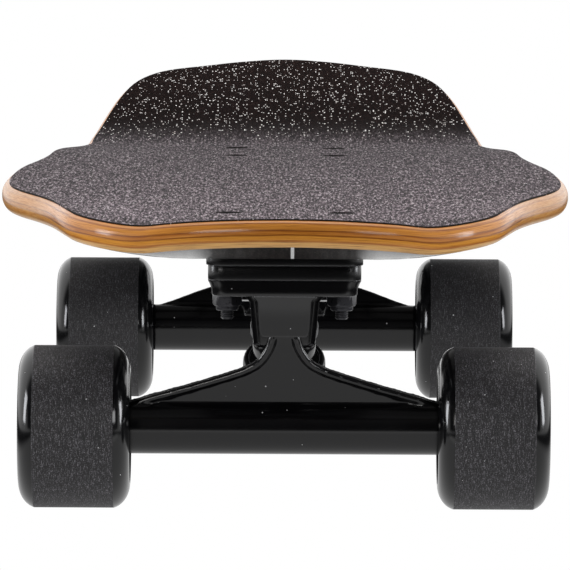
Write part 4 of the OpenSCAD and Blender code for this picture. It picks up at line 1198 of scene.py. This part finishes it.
# ---------------------------------------------------------------- case gasket
def gasket():
    """Fills the gap below the dished deck."""
    half, y0, y1, low = 68.0, -62.0, 146.0, 91.91
    centre = np.array([0, (y0 + y1) / 2])
    corners = rounded_rect(2 * half, y1 - y0, 9, centre[1], steps=9)
    outline = []
    for i in range(len(corners)):
        a, b = np.array(corners[i]), np.array(corners[(i + 1) % len(corners)])
        n = max(1, int(np.linalg.norm(b - a) / 6))
        outline += [a + (b - a) * k / n for k in range(n)]
    rings = []
    # (inset, height); None follows the deck
    for inset, height in ((0.4, low), (0, 92.2), (0, None), (0.5, None), (5, None), (5, low)):
        ring = []
        for point in outline:
            arm = point - centre
            dx, dy = abs(arm[0]), abs(arm[1])
            reach = dx if dx / half > dy / (y1 - centre[1]) else dy
            x, y = centre + arm * (1 - inset / max(reach, 1))
            ring.append((x, y, DECK_Z + rise(x, y) - FIT_GAP if height is None else height))
        rings.append(ring)
    rings.append(rings[0])
    shell = Shell().add(loft(rings, caps=False))
    # tabs at both ends
    for y in (y0 - 4, y1 + 4):
        for x in (-30, 30):
            shell.add(slab(15, 19, 3, low, DECK_Z - FIT_GAP, 0.25), shift(x, y, 0))
    seal = shell.build("case_seal", (SLOT["foam"],), 40)
    tidy(seal.data, weld=True)
    shade(seal, 40)
    return seal


finish(gasket(), "board", "case_gasket")

# ---------------------------------------------------------------- tyres
WHEEL_X = 76.5
# (r, z) of the outboard half of the surface round each core
FRONT_CORE = [(17.03, 12.3), (17.8, 12.3), (18.4, 13.0), (19.4, 16.6), (20.2, 19.3)]
REAR_CORE = [(20.55, 19.0), (20.58, 19.3)]


def tyre_profile(core):
    # the lip, from the ground tread, which it meets at a crease, to the side face
    lip = []
    start = math.radians(14)
    for k in range(17):
        a = start + (math.pi / 2 - start) * k / 16
        lip.append((20.6 + 8.9 * math.cos(a) / math.cos(start),
                    (math.sin(a) - math.sin(start)) / (1 - math.sin(start))))
    return (core + [(r, 14.0 + 5.8 * u) for r, u in lip[::-1]]
            + [(WHEEL_R, z) for z in (13.94, 12, 8, 4, 0, -4, -8, -12, -14.84)]
            + [(r, -14.9 - 5.8 * u) for r, u in lip]
            + [(r, -z) for r, z in core[::-1]])


def tyre(name, x, y, core):
    shell = Shell().add(closed_lathe(tyre_profile(core), 144), wheel_frame(x, y))
    obj = shell.build(name, (TYRE,), None)
    mesh = obj.data
    tidy(mesh, weld=True)
    centre = to_frame((x, y, WHEEL_R))
    points = np.array([vertex.co for vertex in mesh.vertices])
    radius = np.hypot(points[:, 1] - centre[1], points[:, 2] - centre[2]) * 1000
    off_middle = np.abs(points[:, 0] - centre[0]) * 1000
    on_tread = np.where((radius > 29.4) & (off_middle < 14.87), 1.0, 0.0)
    attribute = mesh.attributes.new("tread", "FLOAT", "POINT")
    attribute.data.foreach_set("value", on_tread.astype(np.float32))
    shade(obj, 17)
    return obj


for end, y, core in (("front", -HALF_BASE, FRONT_CORE), ("rear", HALF_BASE, REAR_CORE)):
    for side, x in (("left", -WHEEL_X), ("right", WHEEL_X)):
        wheel = "%s_%s" % (end, side)
        finish(tyre(wheel + "_tread", x, y, core), wheel + "_wheel", wheel + "_tyre")

# ---------------------------------------------------------------- stage
scene.view_settings.view_transform = "Standard"
scene.view_settings.look = "None"
scene.view_settings.exposure = 0.0


def floor_material():
    """White to the camera; the light it throws is confined to near the board and far sides."""
    material = bpy.data.materials.new("floor")
    g = Graph(material)
    x, y, _ = g.xyz()
    # distance outside a strip 0.32 m wide that ends 0.40 m toward the nose
    across = g.math("MAXIMUM", g.minus(g.math("ABSOLUTE", x), 0.16), 0.0)
    ahead = g.math("MAXIMUM", g.minus(g.times(y, -1.0), 0.40), 0.0)
    distance = g.math("SQRT", g.plus(g.times(across, across), g.times(ahead, ahead)))
    front = g.remap(y, (-0.345, -0.375), to=(0.70, 1.05))
    glow = g.times(g.remap(distance, (0.0, 0.09), to=(1.0, 0.03)), front)
    glow = g.math("MAXIMUM", glow, g.remap(g.math("ABSOLUTE", x), (0.42, 0.62), to=(0.0, 0.95)))
    seen = g.node("LightPath").outputs["Is Camera Ray"]
    g.output(g.node("Emission", Color=(1, 1, 1, 1), Strength=g.mix_value(seen, glow, 1.0)))
    return material


floor_mesh = bpy.data.meshes.new("floor")
floor_mesh.from_pydata([(-4, -4, 0), (4, -4, 0), (4, 4, 0), (-4, 4, 0)], [], [[0, 1, 2, 3]])
floor = link("floor", floor_mesh)
floor_mesh.materials.append(floor_material())


def studio_world():
    """White to the camera; lights from behind the tail, faintly from above, and the far sides."""
    world = bpy.data.worlds.new("studio")
    scene.world = world
    g = Graph(world, "Generated")
    x, y, z = g.xyz()
    back = g.remap(y, (-0.12, 0.25))
    roof = g.remap(z, (0.25, 0.9))
    side = g.remap(g.math("ABSOLUTE", x), (0.86, 0.97))
    glow = g.plus(g.plus(g.times(back, 1.15), g.times(roof, 0.10)), 0.02)
    glow = g.math("MAXIMUM", glow, g.times(side, 0.85))
    seen = g.node("LightPath").outputs["Is Camera Ray"]
    g.output(g.node("Background", Color=(1, 1, 1, 1), Strength=g.mix_value(seen, glow, 1.0)),
             "World")


studio_world()


def softbox(name, place, target, size, radiance, tint):
    light = bpy.data.lights.new(name, "AREA")
    light.shape = "RECTANGLE"
    light.size, light.size_y = size
    light.energy = radiance * math.pi * size[0] * size[1]
    light.color = tint
    obj = link(name, light)
    obj.location = place
    obj.rotation_euler = (Vector(target) - Vector(place)).to_track_quat("-Z", "Y").to_euler()
    obj.visible_camera = False


softbox("key_left", place=(-0.60, -1.48, 0.42), target=(0, -0.33, 0.10), size=(0.56, 0.36),
        radiance=7.5, tint=(1.0, 0.985, 0.97))
softbox("key_right", place=(0.86, -1.30, 0.44), target=(0, -0.33, 0.10), size=(0.44, 0.36),
        radiance=6.0, tint=(0.98, 0.985, 1.0))
softbox("overhead", place=(0.0, 0.10, 1.70), target=(0, 0.12, 0.10), size=(1.30, 0.70),
        radiance=2.6, tint=(1.0, 0.985, 0.975))
for name, side in (("strip_left", -1), ("strip_right", 1)):
    softbox(name, place=(side * 1.15, -0.30, 0.34), target=(side * 0.08, -0.24, 0.04),
            size=(0.30, 0.50), radiance=11.0, tint=(0.94, 0.96, 1.0))

# ---------------------------------------------------------------- camera
CAMERA_PLACE = (0, -2.764 - ORIGIN_Y / 1000, 0.2793)
CAMERA_FALL = 0.077414772727    # drop of the view line per metre forward
CAMERA_ROLL = 0.3               # degrees
camera = bpy.data.cameras.new("camera")
camera.sensor_width = 36
camera.lens = 444.631578947
camera.shift_x = 0.000701754386
camera.shift_y = -0.00350877193
camera.clip_start, camera.clip_end = 0.05, 30
camera_object = link("camera", camera)
camera_object.matrix_world = (
    Matrix.Translation(Vector(CAMERA_PLACE))
    @ Matrix.Rotation(math.pi / 2 - math.atan(CAMERA_FALL), 4, "X")
    @ Matrix.Rotation(math.radians(CAMERA_ROLL), 4, "Z"))
scene.camera = camera_object
